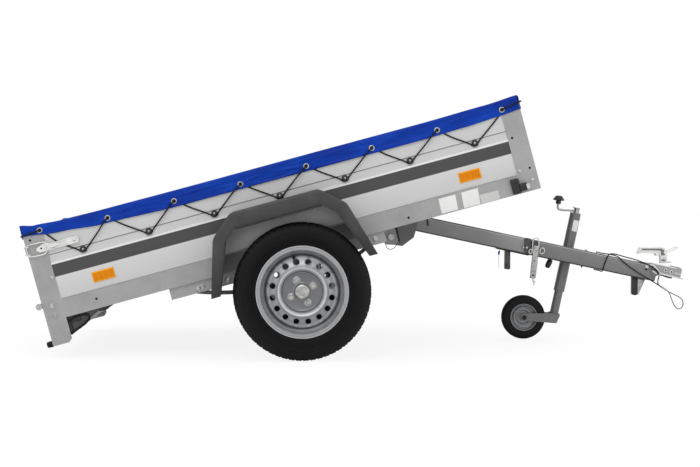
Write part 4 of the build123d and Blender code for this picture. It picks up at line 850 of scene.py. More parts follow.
# %% The rear flap
FLAP_HALF, FLAP_DROP = 570, 52
bm = bmesh.new()
bmesh.ops.create_grid(bm, x_segments=120, y_segments=12, size=1.0)
weave_layer = bm.loops.layers.uv.new("cloth")
for f in bm.faces:
    for corner in f.loops:
        corner[weave_layer].uv = (corner.vert.co.x * FLAP_HALF * 0.001,
                                  corner.vert.co.y * FLAP_DROP * 0.0005)
for v in bm.verts:
    across, down = v.co.x * FLAP_HALF, (1 - v.co.y) / 2
    top = fold(across, REAR).z
    wave = noise.noise(Vector((across * 0.012, down * 1.5, 2.2)))
    hem = 1.4 * max(0, 1 - abs(down - 0.9) / 0.08)
    v.co = (REAR - 2.2 - 1.2 * down - (1.5 * wave + hem) * down, across,
            top + 0.5 - FLAP_DROP * down)
bmesh.ops.recalc_face_normals(bm, faces=bm.faces)
flap = part("cover_flap", bm, "tailgate", cloth_blue, smooth=60.0)
thicken(flap, "cloth_thickness", CLOTH)
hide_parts("tarp_flap")
print("flap of", 2 * FLAP_HALF, "x", FLAP_DROP, "mm")

# %% Eyelets and knobs
SKIN, WALL, KNOB_W = COVER_HALF + 1, 572, 385     # faces of the cloth and wall; knob height
FRONT_EYELETS = (-532, -267, 0, 267, 532)
FRONT_KNOBS = (-400, -135, 135, 400)


def ring(bm, place, along, bore=6.2, radius=12.0, height=2.6):
    """A rolled eyelet: a rounded ring round its bore."""
    turned(bm, ((0, bore + 0.6), (0, radius), (height * 0.5, radius - 0.5),
                (height, radius - 2.6), (height, bore + 2.2), (height * 0.6, bore + 0.6),
                (0, bore + 0.6)), place, along, 28)


def button(bm, place, along):
    """The black button that holds the cord: a narrow neck under a flat domed head."""
    turned(bm, ((0, 0), (0, 8.5), (2, 7.5), (6.5, 7.5), (7.5, 12), (9, 13),
                (11, 13), (13.5, 11), (14.5, 7.5), (14, 5.6), (14, 0)), place,
           along, 28)


rings, shades, buttons, screws = (bmesh.new() for _ in range(4))
eyelet_spots = [((at, side * SKIN, between(eyelet_height, at)), (0, side, 0))
                for side in SIDES for at in EYELETS]
eyelet_spots += [((COVER_FRONT + 1.4, at, 496), (1, 0, 0)) for at in FRONT_EYELETS]
knob_spots = [((at, side * WALL, KNOB_W), (0, side, 0)) for side in SIDES for at in KNOBS]
knob_spots += [((1032, at, KNOB_W), (1, 0, 0)) for at in FRONT_KNOBS]
for spot, along in eyelet_spots:
    ring(rings, spot, along)
    disc(shades, spot, along, 6.6, 0.6)
for spot, along in knob_spots:
    button(buttons, spot, along)
    disc(screws, Vector(spot) + 13.4 * Vector(along), along, 3.9, 1.2, dome=1)
part("cover_eyelets", rings, "chassis", zinc)
part("eyelet_shadows", shades, "chassis", painted_hole_shade)
knobs = part("cover_knobs", buttons, "chassis", black_plastic)
part("knob_screws", screws, "chassis", zinc)
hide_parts("lacing_knobs")
print(len(eyelet_spots), "eyelets,", len(knob_spots), "knobs")

# %% [markdown]
# ### The lacing
# One elastic cord holds the cover down. It comes out of an eyelet, goes down to the next
# button, round under it, and back up behind the hem. It is held at both ends of every V, so
# it isn't a free cord. Each V is one NURBS spline through the places that hold it. A swept
# mesh would need its own bends, and a cord under tension has none except at the buttons.

# %% The cord's Vs
cord_out, cord_in, behind = SKIN + 5.6, 576.2, 575
under_knob = (
    # from the knob's middle: along, the distance from the box's middle, up
    (30, cord_in + 2, 12), (14, cord_in, -1), (9, cord_in, -12), (-9, cord_in, -12),
    (-15, cord_in, -2), (-34, cord_in, 12), (-96, 575.6, 54),
)
round_corner = (
    # from the first eyelet round the front corner: along, across, up
    (961, SKIN + 1, 485), (964, cord_out, 486), (985, cord_out + 1, 489),
    (1022, cord_out + 2, 497), (1042, cord_out - 2, 500), (1046.5, 570, 500),
    (1046.5, 552, 499), (1044, 534, 497),
)
round_rear = (
    # from the last eyelet round the rear corner
    (-943, SKIN + 1, 501), (-946, cord_out, 501), (-970, cord_out + 1, 499),
    (-1004, cord_out + 1, 496), (-1020, cord_out - 3, 495), (-1023, 574, 494.5),
    (-1022.5, 556, 494),
)


def lace(knob, eyelet, rear_eyelet, side, first):
    """One V on a side wall, from the eyelet in front of the knob to behind the hem."""
    top, rear_top = between(eyelet_height, eyelet), between(eyelet_height, rear_eyelet)
    if first:
        points = [(eyelet - 6, side * behind, top - 12),
                  (knob + (eyelet - knob) * 0.72, side * 575.6, KNOB_W + 62)]
    else:
        points = [(eyelet, side * (SKIN + 1), top), (eyelet - 2, side * cord_out, top - 1),
                  (eyelet - 16, side * cord_out, top - 9),
                  (knob + (eyelet - knob) * 0.62, side * cord_out, KNOB_W + 52)]
    points += [(knob + u, side * y, KNOB_W + w) for u, y, w in under_knob]
    return points + [(rear_eyelet + 8, side * behind, rear_top - 4)]


routes = []
for side in SIDES:
    for n, knob in enumerate(KNOBS):
        routes.append(lace(knob, EYELETS[n], EYELETS[n + 1], side, n == 0))
    for route in (round_corner, round_rear):
        routes.append([(u, side * y, w) for u, y, w in route])
for knob in FRONT_KNOBS:
    for turn_to in (-1, 1):
        eyelet = knob + turn_to * 132.5
        reach = 1045.5 if turn_to > 0 else 1036.5
        routes.append([(reach - 2, eyelet, 495), (reach, eyelet - turn_to * 4, 493),
                       (reach, knob + turn_to * 70, 442), (1037, knob + turn_to * 16, KNOB_W),
                       (1036.2, knob + turn_to * 10, KNOB_W - 12),
                       (1036.2, knob - turn_to * 1, KNOB_W - 12.5)])
lacing = cord_curve("cover_lacing", routes, 0.0030, "chassis", cord_rubber)
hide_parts("lacing_cord")
print("lacing in", len(routes), "strands")

# %% [markdown]
# ## Tyres
# A trailer tyre has a flat tread with four ribs, small blocks on the shoulder and a few
# raised rings on the sidewall. Its printed words are left off. The whole cross-section is
# one profile and a tyre is that profile spun round the axle. Some of every six steps are
# then pressed in for the tread's gaps. A texture could fake them, but the outline would stay
# a circle.

# %% Tyre profile, spin and tread gaps
TYRE_MIDDLE = 672
TREAD_STEPS = 360
TREAD_GAPS = (
    # radius over which it cuts, from and to across the tread, steps of every six, depth
    (259, 20, 66, (0,), 5), (259, 66, 99, (0,), 3),
    (262, 33, 99, (3,), 2), (268, -1, 20, (1, 2), 1.6),
)
half_section = (
    # across from the tyre's middle, radius
    (46, 165.4), (51.8, 171.4), (56.6, 182.4), (59.5, 184), (62, 184), (64, 186.5), (66, 190),
    (67.6, 195), (69.6, 197.5), (71.2, 204), (73.4, 206.5), (74.6, 213), (76.2, 221),
    (77.2, 228), (77.2, 233), (75.8, 234.5), (75.6, 239), (76.6, 240.5), (75.9, 243.5),
    (73.6, 246), (71.4, 251), (68.4, 257), (65.4, 260.5), (61, 264.6), (55, 268.2), (49, 270.4),
    (43, 271.6), (38.6, 271.9), (37.8, 265.6), (33.4, 265.6), (32.6, 272), (24, 272),
    (16.8, 272), (16, 265.6), (11.4, 265.6), (10.6, 272), (4, 272),
)
section = half_section + tuple((-y, r) for y, r in reversed(half_section))


def tyre(side):
    """One tyre: the spun section, with gaps pressed across the shoulders and outer ribs."""
    bm = bmesh.new()
    turned(bm, tuple((side * y, r) for y, r in section), (0, side * TYRE_MIDDLE, 0),
           (0, 1, 0), TREAD_STEPS)
    for v in bm.verts:
        radius = math.hypot(v.co.x, v.co.z)
        off = abs(abs(v.co.y) - TYRE_MIDDLE)
        step = round(math.degrees(math.atan2(v.co.z, v.co.x))) % 6
        for over, near, far, steps, depth in TREAD_GAPS:
            if radius > over and near < off < far and step in steps:
                v.co.x *= (radius - depth) / radius
                v.co.z *= (radius - depth) / radius
    return bm


for name, side in NAMED_SIDES:
    made = part(f"road_tyre_{name}", tyre(side), f"wheel_{name}", road_rubber)
    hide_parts(f"tyre_{name}")
    print("tyre", name, "faces", len(made.data.polygons))

# %% [markdown]
# ## Wheel details
# The painted steel wheel keeps its solid. A dark ring in the gap between the rim and the disc
# is a painted shadow, the disc carries a raised ring, four bolts sit in conical seats and a
# plain cap closes the hub. The rubber valve stands in its own hole. All are turned pieces,
# placed on the circles that the solid uses, and they ride with the wheel.

# %% Rings, bolts, cap and valve
BOLTS, BOLT_CIRCLE, FIRST_BOLT = 4, 49, 27.1
VENTS, VENT_CIRCLE = 16, 119
VALVE_CIRCLE, VALVE_TURN = 136, 104
# profiles: out from the wheel's middle plane or from the piece's own foot, radius
rim_gap_shadow = ((15.5, 148.2), (15.5, 143.4), (17.2, 143.4), (18.6, 145.6), (17.2, 148.2),
           (15.5, 148.2))
disc_rings = (
    (((37.5, 104), (39.8, 101.5), (40.4, 99), (39.8, 96.8), (37, 95.4), (36, 100),
      (37.5, 104)), 96),
    (((18.5, 79), (20, 77), (19.2, 74.5), (16.2, 73.6), (15.6, 77), (18.5, 79)), 96),
    (((16, 34), (18.6, 36.6), (19.4, 34.6), (18, 31), (16, 30), (16, 34)), 64),
)
hub_cap = ((16, 29.6), (36, 29.6), (40, 28.2), (42.6, 25), (43.4, 20.5), (42.6, 18.8),
           (42.8, 16), (43.6, 12), (43.9, 0))
bolt_seat = ((0, 15.5), (1.4, 15.5), (1.8, 14.4), (0.8, 10.4), (0, 10.4), (0, 15.5))
vent_rim = ((7, 11.4), (8.6, 12.2), (8.4, 13.6), (6.4, 14.2), (5.6, 12), (7, 11.4))
valve = ((0, 0), (0, 7), (5, 6.2), (9, 4.6), (20, 4.2), (21, 5), (31, 5),
         (32.5, 3.8), (32.5, 0))


def around(radius, degrees, across):
    """A place at a distance and an angle round the axle."""
    angle = math.radians(degrees)
    return Vector((radius * math.cos(angle), across, radius * math.sin(angle)))


for name, side in NAMED_SIDES:
    face, out = side * TYRE_MIDDLE, (0, side, 0)
    dark, bright, silver, black = (bmesh.new() for _ in range(4))
    # the dark ring in the gap between rim and disc: painted shadow
    turned(dark, rim_gap_shadow, (0, face, 0), out, 96)
    for profile, steps in disc_rings:
        turned(bright, profile, (0, face, 0), out, steps)
    turned(silver, hub_cap, (0, face, 0), out, 64)
    for n in range(BOLTS):
        spot = around(BOLT_CIRCLE, FIRST_BOLT + n * 360 / BOLTS, face + side * 15.6)
        turned(silver, bolt_seat, spot, out, 32)
        bolt(silver, spot + Vector((0, side * 0.4, 0)), out, 19, 12.5, washer=3)
    for n in range(VENTS):
        spot = around(VENT_CIRCLE, (n + 0.5) * 360 / VENTS, face + side * 28)
        turned(bright, vent_rim, spot, out, 24)
    turned(black, valve, around(VALVE_CIRCLE, VALVE_TURN, face + side * 17),
           around(-0.25, VALVE_TURN, side), 20)
    body = f"wheel_{name}"
    part(f"rim_gap_shadow_{name}", dark, body, painted_hole_shade)
    part(f"disc_rings_{name}", bright, body, wheel_paint)
    part(f"hub_cap_{name}", silver, body, zinc)
    part(f"tyre_valve_{name}", black, body, black_plastic)
print(BOLTS, "bolts and", VENTS, "vents on each wheel")

# %% [markdown]
# ## Mudguards
# A moulded mudguard is one bent strip with a wide outer flange, a soft rolled edge between
# them and a flat splash panel against the box. It could be a solidified curve, but its
# flange is wider on top than at the legs. So the arch's outer line is extruded sideways, the
# new edge is extruded inwards to the flange's inner line, and bevels round the corners.

# %% Mudguard shell
guard_outer = ((-347, 70), (-280, 293), (-192, 372), (168, 372), (257, 293), (323, 70))
guard_inner = ((-309, 70), (-236, 267), (-185, 312), (161, 313), (213, 262), (289, 70))
GUARD_IN, GUARD_OUT, GUARD_WALL = 575.4, 774, 0.0035
BEND, ROLL = 12, 15     # the radii across the arch and along its outer edge


def guard(side):
    """The arch: a strip from the box outwards, and the flange that turns in from its edge."""
    bm = bmesh.new()
    row = [bm.verts.new((u, side * GUARD_IN, w)) for u, w in guard_outer]
    line = [bm.edges.new(pair) for pair in zip(row, row[1:])]
    for target in (None, guard_inner):
        grown = bmesh.ops.extrude_edge_only(bm, edges=line)["geom"]
        line = [item for item in grown if isinstance(item, bmesh.types.BMEdge)
                and all(v in grown for v in item.verts)]
        fresh = [item for item in grown if isinstance(item, bmesh.types.BMVert)]
        for v in fresh:
            if target is None:
                v.co.y = side * GUARD_OUT
            else:
                nearest = min(range(len(guard_outer)), key=lambda n: (
                    Vector((v.co.x, v.co.z)) - Vector(guard_outer[n])).length)
                v.co.x, v.co.z = target[nearest]
    bends = [e for e in bm.edges if len(e.link_faces) == 2
             and e.calc_face_angle(0) > 0.2 and abs(e.verts[0].co.y - e.verts[1].co.y) > 100]
    bmesh.ops.bevel(bm, geom=bends, offset=BEND, segments=5, affect="EDGES", profile=0.5,
                    material=-1, clamp_overlap=True)
    rolled = [e for e in bm.edges if len(e.link_faces) == 2 and e.calc_face_angle(0) > 1.2]
    bmesh.ops.bevel(bm, geom=rolled, offset=ROLL, segments=5, affect="EDGES", profile=0.5,
                    material=-1, clamp_overlap=True)
    bmesh.ops.recalc_face_normals(bm, faces=bm.faces)
    return bm


# %% Mudguards with splash panels and painted shadow strips
splash_panels = (((-303, 216.5), (-276, 291), (-190, 369), (166, 369), (253, 291),
                  (278, 216.5)),
                 ((-322, 141), (-304, 213), (279, 213), (300, 141)))
# dark strips along the flange's inner edge: a painted shadow under the flange
shadow_strips = (((-186, 311.5), (162, 312.5), (162, 305.5), (-181, 304.5)),
        ((-309, 74), (-305, 74), (-233, 265), (-236, 267)))
for name, side in NAMED_SIDES:
    shell = part(f"guard_shell_{name}", guard(side), "chassis", guard_plastic, smooth=40.0)
    thicken(shell, "guard_thickness", GUARD_WALL,
            offset=1 if shell.data.polygons[0].normal.z < 0 else -1)
    for piece, outlines, low, high, coat in (
            (f"splash_panels_{name}", splash_panels, 575.3, 578.8, board),
            (f"guard_shadow_strip_{name}", shadow_strips, 764, 771, black_plastic)):
        bm = bmesh.new()
        for outline in outlines:
            plate(bm, outline, side * low, side * high, bevel=0.8)
        part(piece, bm, "chassis", coat)
    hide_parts(f"mudguard_{name}")
    print("mudguard", name, "faces", len(shell.data.polygons))

# %% [markdown]
# ## Fasteners, holes and blank labels on the box
# The posts are riveted and bolted to the rails, and a few holes stay open for other fittings.
# Rivets and bolts are turned or six-sided heads on thin washers. A dark disc closes each
# hole from inside, a painted shadow of the hollow rail behind it. The maker's stickers are left
# blank.

# %% Rivets, bolts, holes and labels
RAIL, BEAM = 575, 565
heads, holes, stickers, type_plate = (bmesh.new() for _ in range(4))
post_rivets = ((-948, 305), (971, 226), (1012, 180))
post_bolts = ((-973, 157), (-974, 196))
post_holes = ((-991, 472, 575), (973, 365, 572.1), (1011, 231, 572.1),
              (-800, 179, 571.3), (488, 165, 571.3))
beam_bolts = ((337, 118), (-400, 111), (-382, 113), (-275, 116))
for side in SIDES:
    out = (0, side, 0)
    for u, w in post_rivets:
        disc(heads, (u, side * RAIL, w), out, 8, 1.6, dome=2.2)
    for u, w in post_bolts:
        bolt(heads, (u, side * RAIL, w), out, 17, 5.5)
    for u, w in beam_bolts:
        bolt(heads, (u, side * BEAM, w), out, 17, 6)
    # each hole is closed by a dark disc: painted shadow of the hollow rail
    for u, w, start in post_holes:
        disc(holes, (u, side * start, w), out, 4.9 if start > 572 else 6.2, 0.5)
for outline in (((621, 145), (689, 145), (693, 206), (623, 206)),
                ((714, 143), (782, 142), (787, 207), (718, 207))):
    plate(stickers, outline, -574.8, -575.7, bevel=0.2)
plate(type_plate, ((786, 141), (864, 141), (865, 178), (787, 178)), -574.8, -575.6,
      bevel=0.2)
part("blank_type_plate", type_plate, "chassis", plate_paper)
part("box_fasteners", heads, "chassis", zinc)
part("box_holes", holes, "chassis", painted_hole_shade)
part("blank_stickers", stickers, "chassis", label_paper)
print("rivets and bolts on each side:", len(post_rivets + post_bolts + beam_bolts))

# %% [markdown]
# ## Side reflectors and front marker lamps
# A reflector is a moulded amber bar with upright prisms. A marker lamp has a black foot and a
# clear lens with fine ribs. Their bodies are bevelled blocks, and each prism or rib is a real
# narrow ridge, because it is the ridges that catch the light.

# %% Reflectors and marker lamps
PRISMS, PRISM_STEP, GROUP, GROUP_GAP = 20, 4, 5, 1.2
amber, prisms, frames, lenses = (bmesh.new() for _ in range(4))
for side in SIDES:
    for middle in (-747, 769.5):
        block(amber, (middle - 45, side * WALL, 243), (middle + 45, side * 576.6, 285), 1.6)
        for n in range(PRISMS):
            at = middle - 40 + PRISM_STEP * n + GROUP_GAP * (n // GROUP)
            plate(prisms, ((at - 1.6, 247), (at + 1.6, 247), (at + 1.6, 280.5),
                           (at - 1.6, 280.5)), side * 576.3, side * 577.6, bevel=0.9, segments=1)
    block(frames, (919, side * 575, 143), (953, side * 596, 204), 4, 3)
    block(frames, (948, side * 575, 149), (980, side * 602, 180), 5, 3)
    disc(frames, (936, side * 596, 190), (0, side, 0), 6, 2)
    block(lenses, (976, side * 577, 152), (988, side * 606, 174), 4, 3)
    for n in range(6):
        w = 154.5 + 3.4 * n
        block(lenses, (977, side * 576, w), (990, side * 607.4, w + 1.5), 0.5, 1)
made = part("reflector_bars", amber, "chassis", amber_lens)
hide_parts("side_reflectors")
part("reflector_prisms", prisms, "chassis", amber_deep)
made = part("marker_bodies", frames, "chassis", black_plastic)
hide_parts("marker_lamps")
part("marker_lenses", lenses, "chassis", clear_lens)
print("reflectors and marker lamps done")

# %% [markdown]
# ## Tailgate latches
# An over-centre latch holds each gate end: a pressed plate with two raised rims, a folded
# lever, a wire bail and a hook on the post. It could stay a plain block, but it is the
# brightest thing on the rear corner, so each of its members gets its own shape.

# %% Latches
plates, pits, wires = bmesh.new(), bmesh.new(), []
bail = ((-930, 583, 446), (-937, 586, 453), (-970, 587, 454.5), (-1000, 587, 455),
        (-1009, 587, 453), (-1012.5, 587, 445), (-1012, 587, 428), (-1010.5, 587, 413),
        (-1006, 587, 408), (-990, 587, 406), (-960, 586, 404), (-944, 585, 405),
        (-936, 583, 413))
for side in SIDES:
    out, wall = (0, side, 0), side * WALL
    plate(plates, ((-900, 417), (-804, 418), (-801, 429), (-804, 440), (-900, 439)),
          side * 581, side * 583, bevel=0.6)
    block(plates, (-968, wall, 415), (-805, side * 586, 419.5), 1.6)
    block(plates, (-926, wall, 437), (-806, side * 586, 441.5), 1.6)
    plate(plates, ((-932, 422), (-896, 421), (-880, 424), (-880, 434), (-896, 437), (-932, 437)),
          side * 582, side * 588, bevel=2)
    plate(plates, ((-976, 421), (-940, 413), (-910, 420), (-904, 436), (-925, 444), (-940, 448),
                   (-975, 435)), side * 578, side * 585, bevel=2.5, segments=3)
    bar(plates, (-938, side * 587, 416), (-938, side * 587, 445), 3.4)
    for u in (-821, -890):
        disc(plates, (u + 1, side * 583, 430), out, 6, 1.6, dome=1)
        disc(pits, (u, side * 584.4, 427), out, 3.4, 0.6)
    for u, w in ((-955, 430), (-916, 430)):
        disc(pits, (u, side * 584.8, w), out, 4, 0.6)
    for tip_u, tip_w, foot_w in ((-1022, 448, 448), (-1024, 420, 412)):
        block(plates, (-1012, wall, foot_w - 5), (-1002, side * 584, foot_w + 5), 2)
        bar(plates, (-1008, side * 583, foot_w), (tip_u, side * 580, tip_w), 2.6)
    wires.append([(u, side * y, w) for u, y, w in bail])
part("latch_pits", pits, "chassis", painted_hole_shade)
made = part("latch_plates", plates, "chassis", zinc_highlight)
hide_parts("tailgate_latches")
cord_curve("latch_bails", wires, 0.0025, "chassis", zinc_highlight)
print(len(wires), "latches")

# %% [markdown]
# ## Rear lamps, number plate and wiring
# Each rear lamp is a black tray with an amber, a red and a clear chamber under ribbed lenses,
# and the number plate sits between them on a black carrier. The plate is blank. The loom is
# clipped to the lamp beam at both ends and hangs in a short bow under the gusset.

# %% Lamp chambers and plate carrier
chambers = {"lamp_amber": (amber_lens, 0.66, 0.98), "lamp_red": (red_lens, 0.28, 0.65),
            "lamp_clear": (clear_lens, 0.02, 0.27)}
LAMP_IN, LAMP_WIDTH = 300, 222
LENS_LOW, LENS_HIGH, LENS_RIBS, RIB_STEP = 77, 186, 12, 8.2
for name, (coat, share_in, share_out) in chambers.items():
    bm = bmesh.new()
    for side in SIDES:
        y_in, y_out = (side * (LAMP_IN + LAMP_WIDTH * share) for share in (share_in, share_out))
        block(bm, (-999, y_in, LENS_LOW), (-990, y_out, LENS_HIGH), 3, 3)
        for n in range(LENS_RIBS):
            w = LENS_LOW + 8 + RIB_STEP * n
            block(bm, (-1000, y_in + side * 5, w), (-998.5, y_out - side * 5, w + 2.4), 0.6, 1)
    made = part(name, bm, "chassis", coat)
    if name == "lamp_red":
        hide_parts("lamp_lenses")
bm = bmesh.new()
for low, high in (((-262, 70), (262, 75)), ((-262, 183), (262, 190)), ((-266, 70), (-259, 190)),
                  ((259, 70), (266, 190))):
    block(bm, (-956, low[0], low[1]), (-950, high[0], high[1]), 1.5)
for side in SIDES:
    block(bm, (-968, side * 60 - 24, 189), (-944, side * 60 + 24, 204), 4)
part("plate_carrier", bm, "chassis", black_plastic)
print(len(chambers), "chambers in each lamp")

# %% Loom, gusset shadow plates and rubber feet
looms, gusset_shadows, junctions, feet = [], bmesh.new(), bmesh.new(), bmesh.new()
loom_run = ((-934, 116), (-920, 128), (-898, 133.5), (-872, 132),
            (-853, 128), (-846, 119), (-850, 108), (-866, 96),
            (-890, 86), (-913, 78), (-934, 68))
for side in SIDES:
    looms.append([(u, side * 567, w) for u, w in loom_run])
    # a dark plate over each gusset: painted shadow under the box
    plate(gusset_shadows, ((-940, 139), (-768, 139), (-768, 130), (-806, 130), (-850, 108), (-937, 66)),
          side * 560, side * 562, bevel=0.5)
    plate(junctions, ((-806, 132), (-768, 141), (-764, 134), (-770, 128), (-800, 126)),
          side * 562.5, side * 566, bevel=1.4)
    block(junctions, (-938, side * 562, 74), (-922, side * 569, 126), 4, 3)
    block(junctions, (-924, side * 562, 112), (-880, side * 566, 131), 4, 3)
    turned(feet, ((0, 0), (0, 12.5), (6, 12.8), (20, 12), (23.5, 10), (24.6, 6),
                  (24.8, 0)), (-1016, side * 557, 50), (-1, 0, 0), 28)
part("gusset_shadow_plate", gusset_shadows, "chassis", strap_steel)
part("loom_junctions", junctions, "chassis", black_plastic)
made = part("rubber_feet", feet, "chassis", cord_rubber)
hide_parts("foot_buffers")
cord_curve("lamp_loom", looms, 0.0040, "chassis", cord_rubber)
print(len(looms), "looms and feet")

# %% [markdown]
# ## The tilt pivot and its clip
# The drawbar's ears turn on one pin between two hanging brackets. A wire clip keeps the pin
# in, and two straps hold the loom to the tube. They are small, but they mark where the
# trailer tips, so they are made as a bent wire and two folded bands.

# %% Pivot clip and straps
cord_curve("pin_clip", [[(400, -51, 66), (396, -51, 48), (403, -51, 31),
                         (418, -51, 26.5), (434, -51, 30), (447, -51, 44)]],
           0.0014, "chassis", cord_rubber)
bm = bmesh.new()
plate(bm, ((458, 112), (466, 116), (463.5, 48), (455.5, 48)), -42.8, -41.3, bevel=0.3)
plate(bm, ((599, 114), (607, 114), (603, 83), (595, 84)), -37.4, -35.4, bevel=0.5)
part("loom_straps", bm, "drawbar", black_plastic, where=BOX)
print("pivot clip and straps done")

# %% [markdown]
# ## Coupling head and handle
# The coupling is pressed from thick sheet: a flat web with bolts, a round dome over the ball,
# and a flange turned out all along its lower rim. The solid keeps the socket. The flange,
# the bolts and the dome's skirt are laid over it, in the light zinc that carries their painted
# highlights. The handle is a separate folded piece with a hollow grip, so it gets rims of its
# own, and darker plates in its hollows are painted shade.

# %% Coupling dress
pressed, dark, neck, marks = (bmesh.new() for _ in range(4))
for side in SIDES:
    plate(pressed, ((1142, 112), (1160, 112), (1194, 84.5), (1207, 82.5), (1303, 80), (1305, 86),
                    (1212, 90), (1198, 92), (1164, 119), (1146, 119)), side * 29.5,
          side * 38.5, bevel=1.6)
    plate(pressed, ((1150, 122), (1176, 126), (1262, 126), (1266, 121), (1176, 121)),
          side * 30, side * 33.2, bevel=1.2)
    for s, t in ((1220, 106), (1247, 104)):
        disc(pressed, (s, side * 31, t), (0, side, 0), 7.5, 1.6)
        disc(marks, (s, side * 32.5, t), (0, side, 0), 4.2, 2.6, dome=0.8)
    plate(neck, ((1112, 108), (1122, 113), (1150, 117), (1170, 114), (1202, 92), (1192, 78),
                 (1183, 70), (1183, 48), (1166, 49)), side * 28, side * 31.6, bevel=1)
    bolt(pressed, (1133, side * 31.6, 105), (0, side, 0), 15, 6.5, washer=1.6)
    bolt(marks, (1134, side * 31.6, 92), (0, side, 0), 11, 5, washer=1.2)
    bar(pressed, (1163, side * 33, 92), (1184, side * 33, 82), 4.6)
turned(pressed, ((0, 30), (14, 31.5), (27, 29), (37, 22), (43, 12),
                 (45.5, 0)), (1268, 0, 88), (0, 0, 1), 40)
turned(dark, ((0, 0), (0, 28.5), (-5, 27), (-5, 0)), (1236, 0, 82), (0, 0, 1), 28)
plate(dark, ((1222, 83), (1260, 82), (1256, 75), (1242, 74), (1228, 76)), -22, 22, bevel=1.5)
part("coupling_skirt", pressed, "drawbar", zinc_highlight)
part("coupling_neck", neck, "drawbar", bar_steel)
part("coupling_pins", marks, "drawbar", black_plastic)
part("coupling_seal", dark, "drawbar", black_plastic)
print("coupling dressed")

# %% Handle and wear pointer
handle_sides = ((1088, 150), (1090, 175), (1094, 181), (1100, 182), (1180, 199), (1195, 201),
                (1207, 194), (1216, 178), (1220, 155), (1220, 147), (1243, 148), (1243, 143),
                (1196, 131), (1194, 141), (1188, 162), (1177, 168), (1156, 167), (1101, 159))
handle_hollow_shade = (((1101, 170), (1100, 178), (1188, 196), (1200, 190), (1208, 170),
                   (1190, 165), (1187, 182), (1180, 186)),
                  ((1198, 141), (1214, 144), (1218, 152), (1197, 150)))
bm = bmesh.new()
for low, high in ((-13.5, -10.5), (10.5, 13.5)):
    plate(bm, handle_sides, low, high, bevel=0.9)
plate(bm, ((1090, 173), (1094, 181), (1100, 183), (1182, 200.5), (1196, 202), (1208, 194),
           (1217, 178), (1221, 152), (1216, 152), (1212, 176), (1204, 189), (1194, 196),
           (1182, 195), (1100, 177)), -13.4, 13.4, bevel=2.2, segments=3)
plate(bm, ((1084, 152), (1091, 151), (1097, 180), (1091, 183)), -15.5, 15.5, bevel=2.6,
      segments=3)
for side in SIDES:
    for s, t, r in ((1172, 165, 6), (1206, 158, 4.5), (1204, 181, 5)):
        disc(bm, (s, side * 13.4, t), (0, side, 0), r, 2, dome=1)
bar(bm, (1172, -16, 165), (1172, 16, 165), 3.6)
made = part("handle_grip", bm, "drawbar", zinc_highlight)
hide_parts("coupling_handle")
# darker plates in the grip's hollows: painted shade
bm = bmesh.new()
for side in SIDES:
    for outline, reach in zip(handle_hollow_shade, (14.1, 14)):
        plate(bm, outline, side * 12, side * reach, bevel=0.4, segments=1)
part("handle_hollow_shade", bm, "drawbar", bar_steel)
pointer = ((1214, 186), (1224, 188), (1240, 196), (1256, 209), (1262, 215), (1258, 217),
           (1242, 210), (1226, 199), (1214, 190))
cord_curve("wear_pointer", [[(s, 2, t) for s, t in pointer]], 0.0011, "drawbar", zinc)
print("handle done")

# %% [markdown]
# ## The lock clamp on the drawbar
# A black strap, a bent U of bright wire and a long lever clamp the tube here. A plain plate
# would read as a patch, so the strap, the wire, the eyes and the lever are separate shapes,
# each where its own bolt or loop holds it.

# %% Lock clamp
strap, bright, wires = bmesh.new(), bmesh.new(), []
near, far = -35.6, -41.5
plate(strap, ((577, 112), (584, 119), (604, 119), (611, 110), (622, 60), (616, 52), (596, 51),
              (588, 56)), near, far, bevel=2)
plate(strap, ((612, 112), (640, 117), (648, 84), (621, 78)), near, -44, bevel=3, segments=3)
plate(strap, ((624, 60), (634, 62), (645, -50), (636, -52)), -37, -40.5, bevel=0.8)
disc(strap, (613, -42, 63), (0, -1, 0), 11.5, 4, dome=1)
plate(bright, ((621, 84), (646, 88), (650, 60), (660, -44), (655, -51), (642, -51), (636, -44),
               (624, 56)), -47, -50.5, bevel=1.4)
plate(bright, ((620, 92), (643, 96), (648, 74), (624, 70)), -44, -52.5, bevel=3, segments=3)
for s, t, r in ((639, 27, 3.4), (646, -36, 4.4)):
    disc(strap, (s, -50.4, t), (0, -1, 0), r, 0.5)
for s, t in ((594, 77), (579, 74)):
    disc(bright, (s, -41.4, t), (0, -1, 0), 5.2, 3.6, dome=1.2)
for s, t, r in ((613, 64, 8.6), (663, 77, 12)):
    wires.append([(s + r * 0.86 * math.cos(a), -46.5, t + r * 1.1 * math.sin(a))
                  for a in (math.tau * n / 12 for n in range(13))])
wires.append([(621, -48, 70), (616, -48, 92), (613, -47.5, 110), (617, -46, 122),
              (626, -44, 127), (636, -46, 124), (640, -47.5, 114), (643, -48, 96),
              (645, -48, 88)])
wires.append([(648, -49, -48), (650, -49, -58), (657, -49, -70), (660, -49, -80)])
wires.append([(649, -49, -52), (654, -49, -60), (662, -49, -66)])
part("clamp_strap", strap, "drawbar", strap_steel)
made = part("clamp_lever", bright, "drawbar", zinc)
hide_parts("lock_clamp")
cord_curve("clamp_wires", wires, 0.0026, "drawbar", zinc_highlight)
print("clamp wires", len(wires))

# %% [markdown]
# ## Small things along the drawbar
# A rolled seam runs under the tube, an end of blue-clipped wire hangs out behind the prop
# stub, and the clamp handle of the jockey wheel is a black T grip below the tube. Each stub
# ends in a pressed hole. They are discs, bars and narrow plates.

